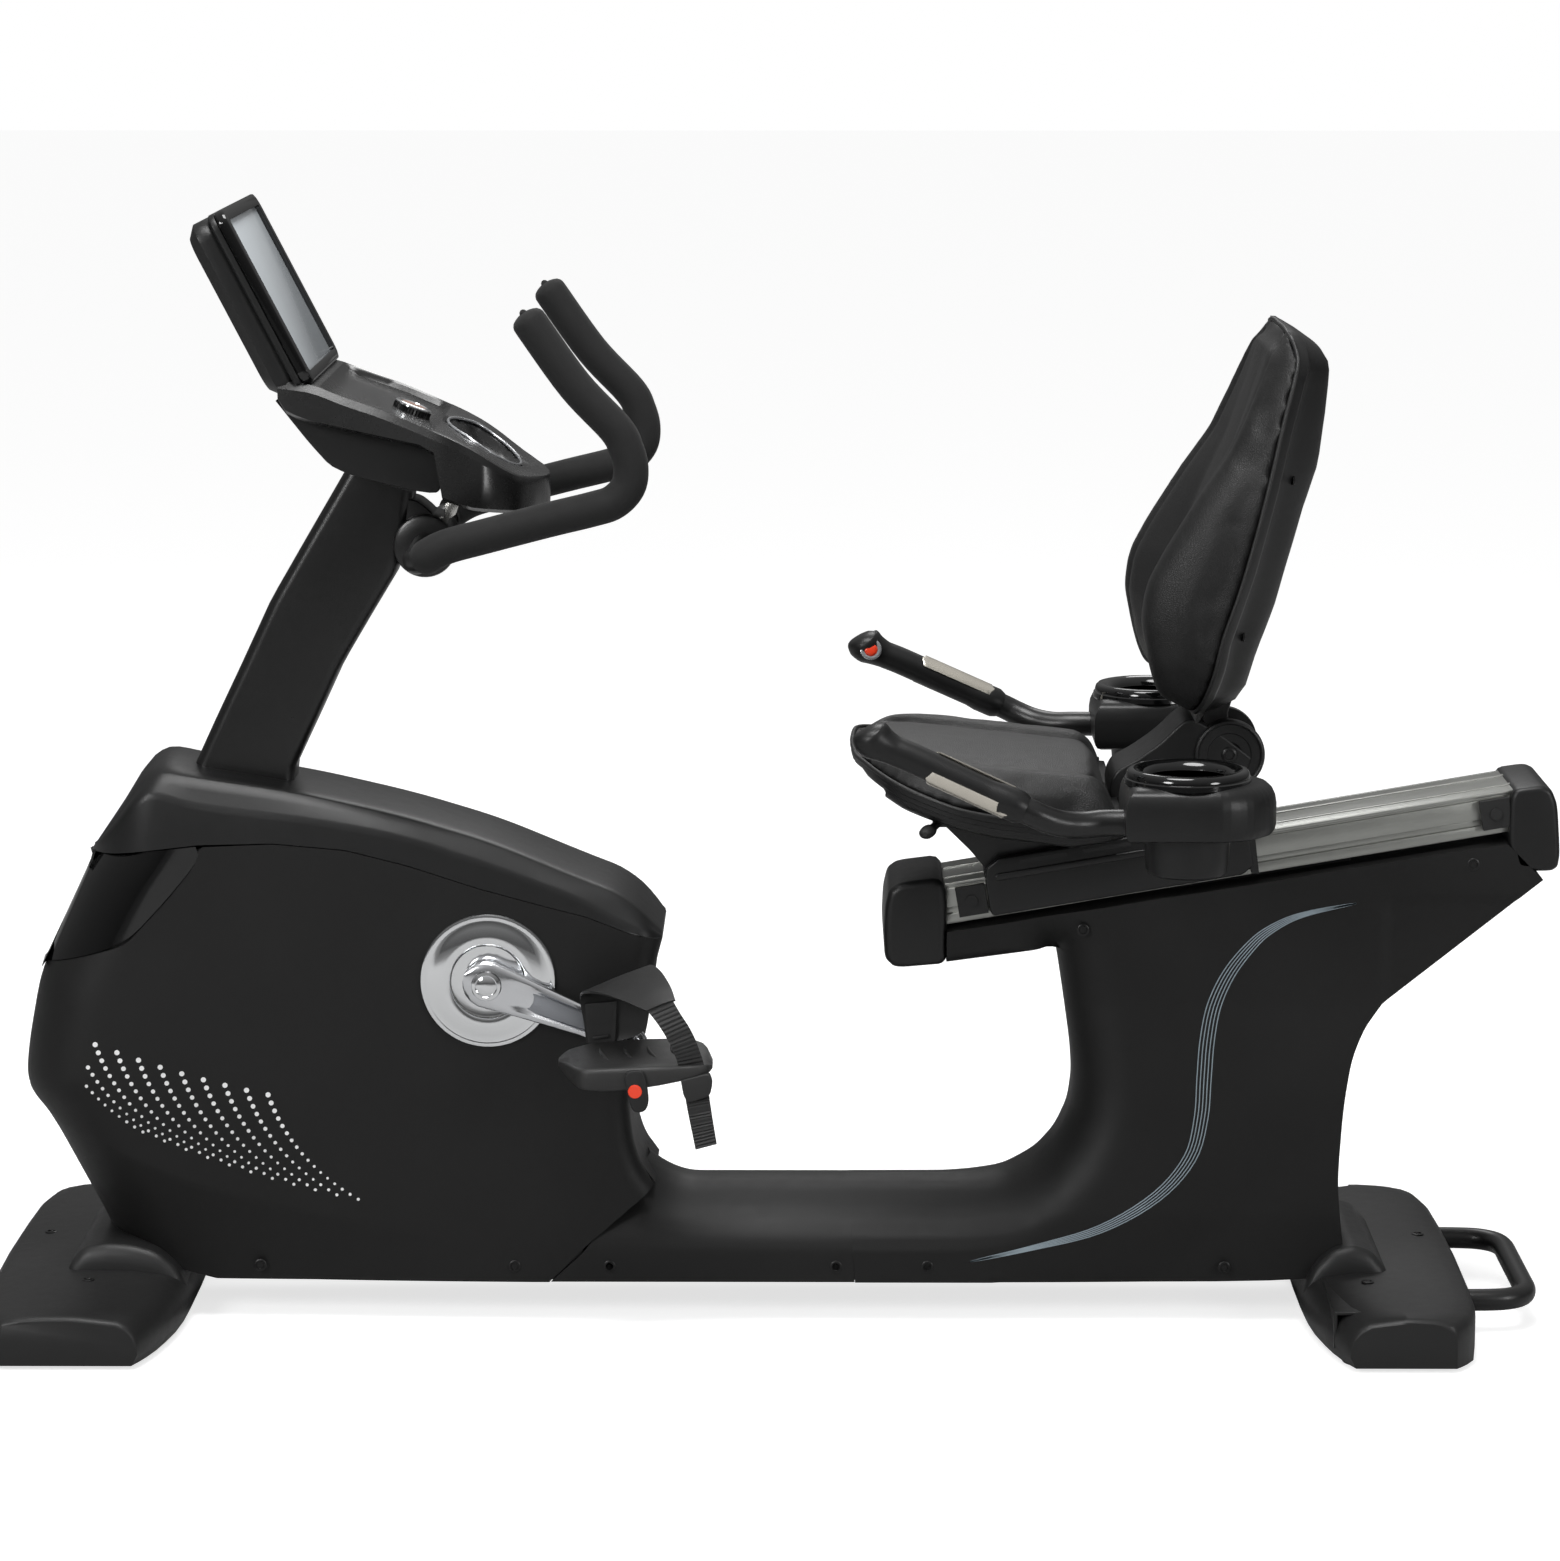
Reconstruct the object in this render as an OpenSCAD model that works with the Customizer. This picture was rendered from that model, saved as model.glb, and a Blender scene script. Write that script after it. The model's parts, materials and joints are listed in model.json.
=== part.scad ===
// Recumbent exercise bike: a belt-driven magnetic trainer with a sliding bucket seat.
// X runs from the console (-) to the back of the seat rail (+), Y from the rider's left (-)
// to the rider's right (+), and Z up. The origin is on the floor under the middle of the machine.

/* [Overall] */
// Length over the front foot cover and the rear rail cap
overall_l = 1708; // [1700:1:1720]
// Width over the foot covers
foot_w = 576; // [560:2:600]
// Half width of the drive covers
cover_half = 97; // [95:1:105]
// Wall thickness of the moulded covers
wall = 3; // [2:0.5:4]

/* [Drive] */
// Crank axis, distance in front of the origin
crank_back = 308; // [304:1:312]
// Crank axis height
crank_z = 383; // [380:1:386]
// Crank length, axle to pedal spindle
crank_len = 170; // [165:2.5:175]
// Angle of the left crank below the horizontal at rest
crank_rest = 21.4; // [0:0.1:45]
// Radius of the crank axle
axle_r = 12.5; // [10:0.5:15]
// Radius of the drive pulley
drive_r = 120; // [110:5:125]
// Radius of the flywheel
fly_r = 140; // [120:5:145]
// Radius of the belt pulley on the flywheel shaft
small_r = 30; // [25:5:35]
// Radius of the belt idler
idler_r = 22; // [18:1:24]
// Thickness of the drive belt
belt_t = 4; // [3:0.5:5]
// Radius of the chromed disc behind each crank
disc_r = 73.5; // [65:0.5:80]

/* [Pedals] */
// Length of a pedal
pedal_l = 158; // [120:2:164]
// Width of a pedal body
pedal_w = 96; // [86:1:100]
// Thickness of a pedal body
pedal_t = 28; // [24:1:32]
// Height of the strap arch over the tread
strap_h = 80; // [60:5:90]

/* [Rail and seat] */
// Slope of the seat rail
rail_tilt = 9.65; // [8:0.05:11]
// Width of the rail extrusion
rail_w = 124; // [110:2:126]
// Height of the rail extrusion
rail_h = 45; // [40:1:48]
// Length of the seat carriage along the rail
carriage_l = 290; // [270:5:300]
// Width of the seat pan
seat_w = 430; // [400:10:440]
// Width of the backrest
back_w = 386; // [360:2:400]
// Height of the recline pivot
pivot_z = 624; // [620:1:630]
// Radius of the recline housing
pivot_r = 38; // [36:1:40]

/* [Handles] */
// Radius of the steel handle tubes
tube_r = 14; // [12:1:15]
// Radius over the foam of the front handlebar
foam_r = 18.5; // [17:0.5:20]
// Radius of the hand grip sleeves beside the seat
sleeve_r = 17; // [16:0.5:19]
// Distance of the cup holders from the middle of the machine
cup_y = 290; // [280:5:295]
// Radius of the cup hole
cup_r = 42.5; // [38:0.5:45]

/* [Feet] */
// Height of the foot covers
foot_h = 62; // [58:1:64]
// Radius of the transport wheels
wheel_r = 26; // [22:1:27]
// Radius of the lift handle tube
lift_r = 12; // [10:1:13]

/* [Fits] */
// Radial running clearance of shafts
run_fit = 0.05; // [0.02:0.01:0.09]
// Gap between the belt and its pulleys
belt_gap = 0.4; // [0.3:0.1:1]

/* [Hidden] */
$fn = 48;

// Places worked out from the driving dimensions
crank = [-crank_back, crank_z];
fly = [-580, 290];
rail_end = [231, 491];
pivot = [496, pivot_z];
rail_half = rail_w / 2;
beam_x = [-720, 614];
beam_z = [56, 120];
beam_half = 40;
post_x = [-636, -524];
post_half = 30;
post_top = 560;
plate_half = 4;
disc_y = cover_half + 1.2;
arm_y = 104;
arm_t = 22;
pedal_in = 135;
pedal_out = pedal_in + pedal_w;
belt_y = [42, 58];
brake_pin = [fly[0] - 14, fly[1] + fly_r + 24];
foot_half = foot_w / 2;
skirt_y = [rail_half + 2, rail_half + 12];

// Outline of the front drive housing, seen from the rider's left
shroud_outline = [
    [-728, 66], [-744, 104], [-759, 134], [-797, 211], [-820, 240], [-825, 262],
    [-821, 300], [-809, 363], [-800, 390], [-742, 514], [-705, 572], [-682, 608],
    [-664, 619], [-627, 606], [-497, 587], [-400, 562], [-304, 533], [-208, 493],
    [-145, 464], [-124, 446], [-118, 427], [-127, 400], [-137, 321], [-158, 246],
    [-156, 205], [-147, 180], [-131, 160], [-243, 45], [-632, 45], [-632, 66]
];
// Line where the top cover meets the side covers
parting_line = [
    [-900, 505], [-742, 514], [-620, 532], [-540, 534], [-461, 527], [-394, 510],
    [-321, 486], [-249, 466], [-202, 454], [-153, 435], [-100, 424]
];
// Gloss window that wraps the front of the housing
window_outline = [
    [-900, 388], [-801, 388], [-701, 422], [-622, 513], [-620, 532], [-742, 514], [-900, 505]
];
// Height and front end of the housing's plan outline
nose_levels = [[45, -728], [104, -744], [262, -825], [390, -800], [514, -742], [640, -680]];
nose_r = 72;
// Section of the beam cover, half of it, across the machine
beam_section = [
    [0, 45], [cover_half, 45], [cover_half, 80], [92, 95], [78, 111], [60, 125], [40, 136], [20, 143],
    [0, 145]
];
beam_cover_outline = [[-131, 160], [-66, 150], [84, 150], [90, 45], [-243, 45]];
// Section of the rear covers: wide at the beam and narrow under the rail
rear_section = [[0, 40], [cover_half, 40], [cover_half, 150], [75, 330], [75, 640], [0, 640]];
pan_bottom = [[96, 606], [141, 585], [237, 558], [320, 547], [366, 556]];
back_front = [
    [452, 681], [424, 680], [411, 694], [398, 733], [391, 784], [397, 822], [418, 860],
    [455, 917], [486, 961], [510, 1014], [531, 1074], [533, 1086]
];
back_middle = [
    [547, 1086], [556, 1061], [547, 1027], [524, 928], [500, 834], [476, 761], [464, 710]
];
back_rear = [
    [503, 668], [514, 693], [525, 733], [544, 789], [571, 894], [587, 959], [594, 1050],
    [591, 1062], [569, 1080]
];
mast_outline = [
    [-640, post_top], [-635, 598], [-544, 790], [-461, 931], [-388, 903], [-406, 821],
    [-469, 716], [-523, 601], [-518, post_top]
];
handlebar_axis = [-375, 850];
bar_y = 210;
// Centre line of the right half of the handlebar
bar_run = [
    [-375, 0, 850], [-375, 150, 850], [-373, 190, 852], [-362, 207, 859], [-338, bar_y, 871],
    [-260, bar_y, 892], [-186, bar_y, 910], [-160, bar_y, 921], [-146, bar_y, 940],
    [-148, bar_y, 966], [-160, bar_y, 990], [-204, bar_y, 1040], [-248, bar_y, 1102]
];
foam_from = 4;
// Console: a screen leaning back by this angle above a deck that slopes to the rider
screen_foot = [-480, 1036];
screen_lean = 27.2;
screen_h = 206;
console_half = 156;
deck_slope = 21.4;
knob_at = [-394, 0, 984];
key_at = [-440, 0, 1002];
cup_x = 433;
cup_top = 645;
grip_tip = [108, 335, 681];
grip_a = [152, 338, 666];
grip_b = [262, 345, 616];
lever_pin = [185, -72];
stop_at = [-34, 541];
foot_pad = [[-740, 240], [636, 240]];
roller = [-828, 28];

function rail_pt(s, t) = [
    rail_end[0] + s * cos(rail_tilt) - t * sin(rail_tilt),
    rail_end[1] + s * sin(rail_tilt) + t * cos(rail_tilt)
];
function under_rail(x, drop = 0) =
    rail_end[1] + (x - rail_end[0]) * tan(rail_tilt) - (rail_h + drop) / cos(rail_tilt);
function flip(path) = [for (i = [len(path) - 1:-1:0]) path[i]];
function left_of(p) = [p[0], -p[1], p[2]];
function unit(v) = v / norm(v);

// Both outer tangents of the belt run: the angle from the crank to the flywheel, and the half wrap
belt_dir = atan2(fly[1] - crank[1], fly[0] - crank[0]);
belt_span = norm(fly - crank);
belt_wrap = acos((drive_r - small_r) / belt_span);
function belt_loop(grow) = concat(
    [for (a = [belt_wrap:(360 - 2 * belt_wrap) / 28:360 - belt_wrap])
        crank + (drive_r + grow) * [cos(belt_dir + a), sin(belt_dir + a)]],
    [for (a = [-belt_wrap:2 * belt_wrap / 14:belt_wrap])
        fly + (small_r + grow) * [cos(belt_dir + a), sin(belt_dir + a)]]
);
// The idler rides under the lower run of the belt
idler_x = -440;
low_dir = belt_dir + belt_wrap;
low_n = [cos(low_dir), sin(low_dir)];
idler_z = crank[1] + (drive_r + belt_t + 2 * belt_gap + idler_r - low_n[0] * (idler_x - crank[0])) / low_n[1];

// Closed round tube along a path, as rings of n points
function ring(path, i, r, n) =
    let (a = path[max(i - 1, 0)], b = path[min(i + 1, len(path) - 1)])
    let (t = unit(b - a), u = unit(cross([0, 0, 1], t)), v = cross(t, u))
    [for (k = [0:n - 1]) path[i] + r * (cos(360 * k / n) * u + sin(360 * k / n) * v)];

module sweep(path, radii, n = 16) {
    m = len(path);
    rings = [for (i = [0:m - 1]) each ring(path, i, is_list(radii) ? radii[i] : radii, n)];
    sides = [for (i = [0:m - 2]) for (k = [0:n - 1])
        [i * n + k, (i + 1) * n + k, (i + 1) * n + (k + 1) % n, i * n + (k + 1) % n]];
    first = [for (k = [0:n - 1]) k];
    last = [for (k = [n - 1:-1:0]) (m - 1) * n + k];
    polyhedron(rings, concat(sides, [first, last]), convexity = 6);
}

// Hollow sleeve between two radii along a path, starting at one of its points
module sleeve(path, from, r_out, r_in, n = 16) {
    m = len(path) - from;
    outer = [for (i = [from:len(path) - 1]) each ring(path, i, r_out, n)];
    inner = [for (i = [from:len(path) - 1]) each ring(path, i, r_in, n)];
    o = m * n;
    last = (m - 1) * n;
    skin = [for (i = [0:m - 2]) for (k = [0:n - 1])
        [i * n + k, (i + 1) * n + k, (i + 1) * n + (k + 1) % n, i * n + (k + 1) % n]];
    bore = [for (f = skin) [f[3] + o, f[2] + o, f[1] + o, f[0] + o]];
    front = [for (k = [0:n - 1]) [k, (k + 1) % n, (k + 1) % n + o, k + o]];
    back = [for (k = [0:n - 1])
        [last + (k + 1) % n, last + k, last + k + o, last + (k + 1) % n + o]];
    polyhedron(concat(outer, inner), concat(skin, bore, front, back), convexity = 8);
}

// Outline in the XZ plane, extruded between two Y values
module slab(points, y0, y1) {
    translate([0, y1, 0]) rotate([90, 0, 0]) linear_extrude(y1 - y0) polygon(points);
}

// Cylinder along Y at a place in the XZ plane
module pin_y(at, r, y0, y1) {
    translate([at[0], y1, at[1]]) rotate([90, 0, 0]) cylinder(r = r, h = y1 - y0);
}

module ring_y(at, r_out, r_in, y0, y1) {
    difference() {
        pin_y(at, r_out, y0, y1);
        pin_y(at, r_in, y0 - 1, y1 + 1);
    }
}

// Cylinder between two points
module rod(a, b, r) {
    d = b - a;
    translate(a) rotate([0, acos(d[2] / norm(d)), atan2(d[1], d[0])]) cylinder(r = r, h = norm(d));
}

module box(x, y, z) {
    translate([x[0], y[0], z[0]]) cube([x[1] - x[0], y[1] - y[0], z[1] - z[0]]);
}

module both_sides() {
    children();
    mirror([0, 1, 0]) children();
}

// Places its children in the rail's own axes: X along the rail, Z out of its top
module on_rail() {
    translate([rail_end[0], 0, rail_end[1]]) rotate([0, -rail_tilt, 0]) children();
}

// Places its children in the screen's axes: Z up the screen, X out of it towards the rider
module on_screen() {
    translate([screen_foot[0], 0, screen_foot[1]]) rotate([0, -screen_lean, 0]) children();
}

// Places its children in the deck's axes: Z out of the deck
module on_deck(at) {
    translate(at) rotate([0, deck_slope, 0]) children();
}

/* Frame */

module base_beam() {
    color("dimgray") difference() {
        box(beam_x, [-beam_half, beam_half], beam_z);
        box([beam_x[0] - 1, beam_x[1] + 1], [4 - beam_half, beam_half - 4], [beam_z[0] + 4, beam_z[1] - 4]);
    }
}

module front_upright() {
    plate = [
        [post_x[1], beam_z[1]], [post_x[1], 480], [-300, 424], [-276, 390], [-276, 360],
        [-400, beam_z[1]]
    ];
    color("dimgray") difference() {
        union() {
            box(post_x, [-post_half, post_half], [beam_z[1], post_top]);
            slab(plate, -plate_half, plate_half);
            pin_y(crank, 34, -60, 38);
            pin_y([idler_x, idler_z], 8, 0, 62);
            pin_y(brake_pin, 6, -86, -post_half);
        }
        box([post_x[0] + 4, post_x[1] - 4], [4 - post_half, post_half - 4], [beam_z[1] - 1, post_top + 1]);
        pin_y(crank, 26, -61, 39);
        pin_y(fly, 10 + run_fit, -40, 40);
    }
}

module rear_post() {
    top_a = rail_pt(200, -rail_h);
    top_b = rail_pt(400, -rail_h);
    up = [-4 * sin(rail_tilt), 4 * cos(rail_tilt)];
    color("dimgray") difference() {
        slab([[380, beam_z[1]], [560, beam_z[1]], top_b, top_a], -35, 35);
        slab([[384, beam_z[1] - 1], [556, beam_z[1] - 1], top_b + up - [5, 0], top_a + up + [5, 0]], -31, 31);
    }
}

module stabilizers() {
    color("dimgray") {
        difference() {
            union() {
                box([-780, -700], [-270, 270], [16, beam_z[0]]);
                both_sides() {
                    box([roller[0], -779], [187, 195], [20, 38]);
                    pin_y(roller, 11, 187, 195);
                }
            }
            box([-776, -704], [-271, 271], [20, beam_z[0] - 4]);
            pin_y(roller, 6 + run_fit, -230, 230);
        }
        difference() {
            box([600, 676], [-250, 250], [16, beam_z[0]]);
            box([604, 672], [-251, 251], [20, beam_z[0] - 4]);
        }
    }
}

module levelling_feet() {
    color("black") both_sides() for (p = foot_pad) translate([p[0], p[1], 0]) {
        cylinder(r = 26, h = 9);
        cylinder(r = 8, h = 16);
    }
}

// Foot cover: half of its plan, outer edge bowed, ends rounded
function foot_plan(out, inner, grow) =
    let (e = foot_half - grow, d = sign(out - inner))
    let (o = out - d * grow, i = inner + d * grow)
    [[o, 0], [o - d * 4, 200], [o - d * 14, e - 30], [o - d * 36, e - 6], [o - d * 62, e],
        [i + d * 38, e], [i + d * 16, e - 16], [i + d * 3, e - 70], [i, 120], [i, 0]];
module foot_block(out, inner, grow, z0, top) {
    half = foot_plan(out, inner, grow);
    slim = foot_plan(out, inner, grow + 9);
    hull() {
        both_sides() translate([0, 0, z0]) linear_extrude(top - z0 - 16) polygon(half);
        both_sides() translate([0, 0, top - 1]) linear_extrude(1) polygon(slim);
    }
}

module front_foot_cover() {
    color("#1b1c1e") difference() {
        foot_block(-overall_l / 2, -636, 0, 4, foot_h);
        foot_block(-overall_l / 2, -636, wall, 3, foot_h - wall);
        both_sides() box([-860, -790], [196, 228], [0, 56]);
        box([-722, -600], [-beam_half - 1, beam_half + 1], [beam_z[0] - 1, foot_h + 1]);
    }
}

module rear_foot_cover() {
    color("#1b1c1e") difference() {
        foot_block(761, 578, 0, 4, foot_h);
        foot_block(761, 578, wall, 3, foot_h - wall);
        box([560, beam_x[1] + 1], [-beam_half - 1, beam_half + 1], [beam_z[0] - 1, foot_h + 1]);
        both_sides() translate([700, 130, 36]) rotate([0, 90, 0]) cylinder(r = lift_r + 0.5, h = 90);
    }
}

module foot_collars() {
    color("#232427") {
        difference() {
            box([-764, -634], [-cover_half - 7, cover_half + 7], [foot_h, foot_h + 26]);
            box([-746, -600], [-cover_half - 0.2, cover_half + 0.2], [foot_h - 1, foot_h + 27]);
        }
        difference() {
            box([587, 664], [-cover_half - 7, cover_half + 7], [foot_h, foot_h + 26]);
            box([580, 634], [-cover_half - 0.2, cover_half + 0.2], [foot_h - 1, foot_h + 27]);
        }
    }
}

module lift_handle() {
    run = [
        [676, 130, 36], [775, 130, 36], [798, 127, 36], [816, 114, 36], [825, 92, 36], [826, 60, 36]
    ];
    color("#17181a") sweep(concat([for (p = run) p], [for (p = flip(run)) left_of(p)]), lift_r);
}

/* Drive covers */

module nose_stack(inset) {
    r = nose_r - inset;
    half = cover_half - inset;
    for (i = [0:len(nose_levels) - 2]) hull() for (p = [nose_levels[i], nose_levels[i + 1]])
        translate([0, 0, p[0]]) {
            both_sides() translate([p[1] + nose_r, half - r, 0]) cylinder(r = r, h = 0.1, $fn = 32);
            translate([-100, -half, 0]) cube([30, 2 * half, 0.1]);
        }
}

module shroud_solid(inset = 0) {
    intersection() {
        nose_stack(inset);
        translate([0, 200, 0]) rotate([90, 0, 0]) linear_extrude(400)
            offset(delta = -inset) polygon(shroud_outline);
    }
}

module shroud_shell() {
    difference() {
        shroud_solid();
        shroud_solid(wall);
    }
}

module side_cover() {
    below = concat(parting_line, [[-60, 424], [-60, 0], [-900, 0]]);
    difference() {
        intersection() {
            shroud_shell();
            slab(below, -120, -0.2);
        }
        slab(window_outline, -121, 1);
        pin_y(crank, 30, -120, 0);
        box([beam_x[0] - 1, -90], [-beam_half - 0.3, 1], [beam_z[0] - 0.3, beam_z[1] + 0.3]);
    }
}

module left_side_cover() { color("#161719") side_cover(); }

module right_side_cover() { color("#161719") mirror([0, 1, 0]) side_cover(); }

module top_cover() {
    above = concat(parting_line, [[-60, 424], [-60, 700], [-900, 700]]);
    color("#1d1e20") difference() {
        intersection() {
            shroud_shell();
            slab(above, -120, 120);
        }
        slab([[-648, 540], [-643, 598], [-570, 700], [-480, 700], [-518, 601], [-510, 540]], -37, 37);
    }
}

module front_window() {
    color("#0a0a0c") intersection() {
        shroud_shell();
        slab(window_outline, -120, 120);
    }
}

module across(section, x0, x1) {
    both_sides() translate([x0, 0, 0]) rotate([90, 0, 90]) linear_extrude(x1 - x0) polygon(section);
}

module beam_cover() {
    inner = [
        [0, 20], [cover_half - wall, 20], [cover_half - wall, 79], [89.5, 93], [76, 108.5],
        [58.5, 122], [39, 132.5], [19.5, 139.7], [0, 142]
    ];
    color("#161719") difference() {
        intersection() {
            across(beam_section, -260, 100);
            slab(beam_cover_outline, -120, 120);
        }
        across(inner, -261, 101);
    }
}

// Outline of the rear cover; its upper edge runs just under the rail
rear_outline = concat(
    [[90.5, 45], [84.5, 145], [222, 146], [262, 153], [295, 174], [320, 207], [331, 262],
        [314, 395], [302, 411], [190, 395]],
    [[190, under_rail(190, 0.5)], [790, under_rail(790, 0.5)], [795, 528]],
    [[803.5, 503], [852, 503], [846, 492], [830, 488], [662, 353], [640, 320], [631, 290],
        [624, 240], [620, 188], [618, 157], [622, 110], [631, 66], [577, 66], [577, 45]]
);

module rear_cover() {
    thin = [[0, 30], [cover_half - wall, 30], [cover_half - wall, 149.6], [72, 329], [72, 660], [0, 660]];
    difference() {
        intersection() {
            mirror([0, 1, 0]) translate([80, 0, 0]) rotate([90, 0, 90])
                linear_extrude(780) polygon(rear_section);
            slab(rear_outline, -120, -0.2);
        }
        intersection() {
            mirror([0, 1, 0]) translate([70, -1, 0]) rotate([90, 0, 90]) linear_extrude(800) polygon(thin);
            translate([0, 1, 0]) rotate([90, 0, 0]) linear_extrude(130)
                offset(delta = -wall) polygon(rear_outline);
        }
        slab([[60, 48], [60, 124], [110, 124], [110, 48]], -cover_half + wall, 1);
        box([570, 640], [-beam_half - 1, 1], [40, beam_z[1] + 1]);
        slab([[375, 130], [565, 130], [660, 560], [400, 540]], -36, 1);
    }
}

module left_rear_cover() { color("#161719") rear_cover(); }

module right_rear_cover() { color("#161719") mirror([0, 1, 0]) rear_cover(); }

module seat_rail() {
    color("silver") on_rail() difference() {
        box([-85, 600], [-rail_half, rail_half], [-rail_h, 0]);
        box([-86, 601], [5 - rail_half, rail_half - 5], [5 - rail_h, -5]);
        both_sides() box([-86, 601], [rail_half - 2, rail_half + 1], [-33, -29]);
        box([-86, 601], [-24, 24], [-2, 1]);
    }
}

module rail_end_caps() {
    nose = [[133, 392], [126, 402], [124, 459], [130, 479], [140, 484], [189.5, 491], [189.5, 396]];
    tail = [
        [795.5, 589], [836, 592], [848, 576], [overall_l / 2, 507], [852, 503.5], [804, 503.5],
        [795.5, 529]
    ];
    color("#1d1e20") difference() {
        union() {
            slab(nose, -74, 74);
            slab(tail, -75, 75);
        }
        slab([[140, 400], [137, 470], [190.5, 478], [190.5, 402]], -70, 70);
        slab([[794, 520], [794, 582], [838, 584], [845, 514], [806, 514]], -71, 71);
        on_rail() box([-85, 600], [-rail_half, rail_half], [-rail_h, 0]);
    }
}

module rail_stops() {
    color("#101113") on_rail() both_sides() for (s = stop_at) {
        box([s, s + 32], [rail_half, rail_half + 9], [-38, -6]);
        translate([s + 16, rail_half + 9, -22]) rotate([-90, 0, 0]) cylinder(r = 6.5, h = 2);
    }
}

module cover_screws() {
    color("#0c0c0d") {
        both_sides() {
            for (x = [-561, -282, -178, 70, 170, 495]) pin_y([x, 63], 6.5, cover_half, cover_half + 1.2);
            for (p = [[338, 435], [760, 508]]) pin_y(p, 6.5, 75, 76.2);
        }
        for (p = [[-812, 50], [-742, -150], [724, 50], [646, -150]])
            translate([p[0], p[1], foot_h]) cylinder(r = 6, h = 1);
    }
}

/* Mast, handlebar and console */

module mast() {
    inner = [
        [-634, post_top - 1], [-630, 598], [-540, 788], [-450, 940], [-390, 930], [-411, 822],
        [-474, 718], [-528, 603], [-524, post_top - 1]
    ];
    color("#1a1b1d") difference() {
        slab(mast_outline, -35, 35);
        slab(inner, -32, 32);
    }
}

module handlebar_clamp() {
    color("#151618") difference() {
        union() {
            pin_y(handlebar_axis, 34, -45, 45);
            slab([[-398, 838], [-386, 896], [-366, 882], [-352, 850]], -33, 33);
        }
        slab(mast_outline, -50, 50);
        pin_y(handlebar_axis, tube_r, -60, 60);
    }
}

bar_all = concat([for (p = flip(bar_run)) left_of(p)], [for (i = [1:len(bar_run) - 1]) bar_run[i]]);

module handlebar() {
    color("#222326") sweep(bar_all, tube_r);
}

module handlebar_grips() {
    last = len(bar_run) - 1;
    tip = bar_run[last];
    d = unit(tip - bar_run[last - 1]);
    color("#1c1c1e") both_sides() {
        sleeve(concat(bar_run, [tip + 4 * d]), foam_from, foam_r, tube_r + 0.3);
        sweep([tip + 0.2 * d, tip + 8 * d, tip + 13 * d, tip + 16 * d], [foam_r - 1, foam_r - 1.5, 12, 6]);
    }
}

module console_back() {
    base = [
        [-526, 1016], [-511, 997], [-489, 969], [-463, 938], [-353, 911], [-351, 955], [-372, 966],
        [-489, 992], [-511, 999.5]
    ];
    color("#131416") {
        on_screen() difference() {
            box([-50, -20], [-console_half + 4, console_half - 4], [2, screen_h]);
            box([-46, -19], [-console_half + 8, console_half - 8], [6, screen_h - 4]);
        }
        difference() {
            slab(base, -110, 110);
            slab(mast_outline, -35, 35);
        }
    }
}

module console_bezel() {
    color("#101113") on_screen() difference() {
        box([-20, 0], [-console_half, console_half], [2, screen_h]);
        box([-9, 1], [-138, 138], [16, screen_h - 14]);
    }
}

module console_screen() {
    color("lightgray") on_screen() box([-9, -4], [-137.5, 137.5], [16.5, screen_h - 14.5]);
}

deck_plan = [
    [-500, 0], [-500, 152], [-450, 156], [-400, 155], [-325, 148], [-290, 132], [-268, 108],
    [-252, 74], [-243, 36], [-241, 0]
];
module control_deck() {
    side = [
        [-484, 1034], [-450, 1021], [-410, 1009], [-325, 971], [-271, 932], [-241, 925],
        [-245, 893], [-255, 890], [-318, 898], [-350.5, 911], [-350.5, 955.3], [-372, 966.6],
        [-489, 992.6], [-511, 1000], [-522, 1016]
    ];
    color("#16171a") difference() {
        intersection() {
            slab(side, -160, 160);
            both_sides() translate([0, 0, 850]) linear_extrude(220) polygon(deck_plan);
        }
        on_screen() box([-60, 60], [-170, 170], [2, 60]);
        on_deck([-330, 0, 968]) box([-32, 44], [-70, 70], [-22, 40]);
        on_deck([-420, 0, 993]) box([-46, 54], [-110, 110], [-1, 40]);
        on_deck(knob_at) cylinder(r = 4 + run_fit, h = 40, center = true);
        on_deck(key_at) box([-8, 8], [-50, 50], [-6, 10]);
    }
}

module console_knob() {
    color("silver") on_deck(knob_at) {
        translate([0, 0, 1.5]) cylinder(r = 21, h = 15);
        translate([0, 0, -11]) cylinder(r = 4, h = 13);
    }
}

module console_key() {
    color("gray") on_deck(key_at) box([-7.6, 7.6], [-49.6, 49.6], [-3.5, 3]);
}

/* Drive train */

module crank_bearings() {
    color("silver") for (y = [-60, 23]) ring_y(crank, 26, axle_r + run_fit, y, y + 15);
}

module drive_belt() {
    color("#101010") difference() {
        slab(belt_loop(belt_gap + belt_t), belt_y[0], belt_y[1]);
        slab(belt_loop(belt_gap), belt_y[0] - 1, belt_y[1] + 1);
    }
}

module crank_axle() {
    color("silver") pin_y(crank, axle_r, -120, 120);
}

module drive_pulley() {
    color("dimgray") difference() {
        pin_y(crank, drive_r, belt_y[0], belt_y[1]);
        pin_y(crank, axle_r, 30, 70);
        for (a = [0:72:288]) pin_y(crank + 72 * [cos(a), sin(a)], 26, 30, 70);
    }
}

module crank_discs() {
    color("silver") both_sides() difference() {
        union() {
            pin_y(crank, disc_r, disc_y, disc_y + 4.5);
            pin_y(crank, 24, 66, disc_y + 4.5);
        }
        pin_y(crank, axle_r, 60, 120);
    }
}

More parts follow.
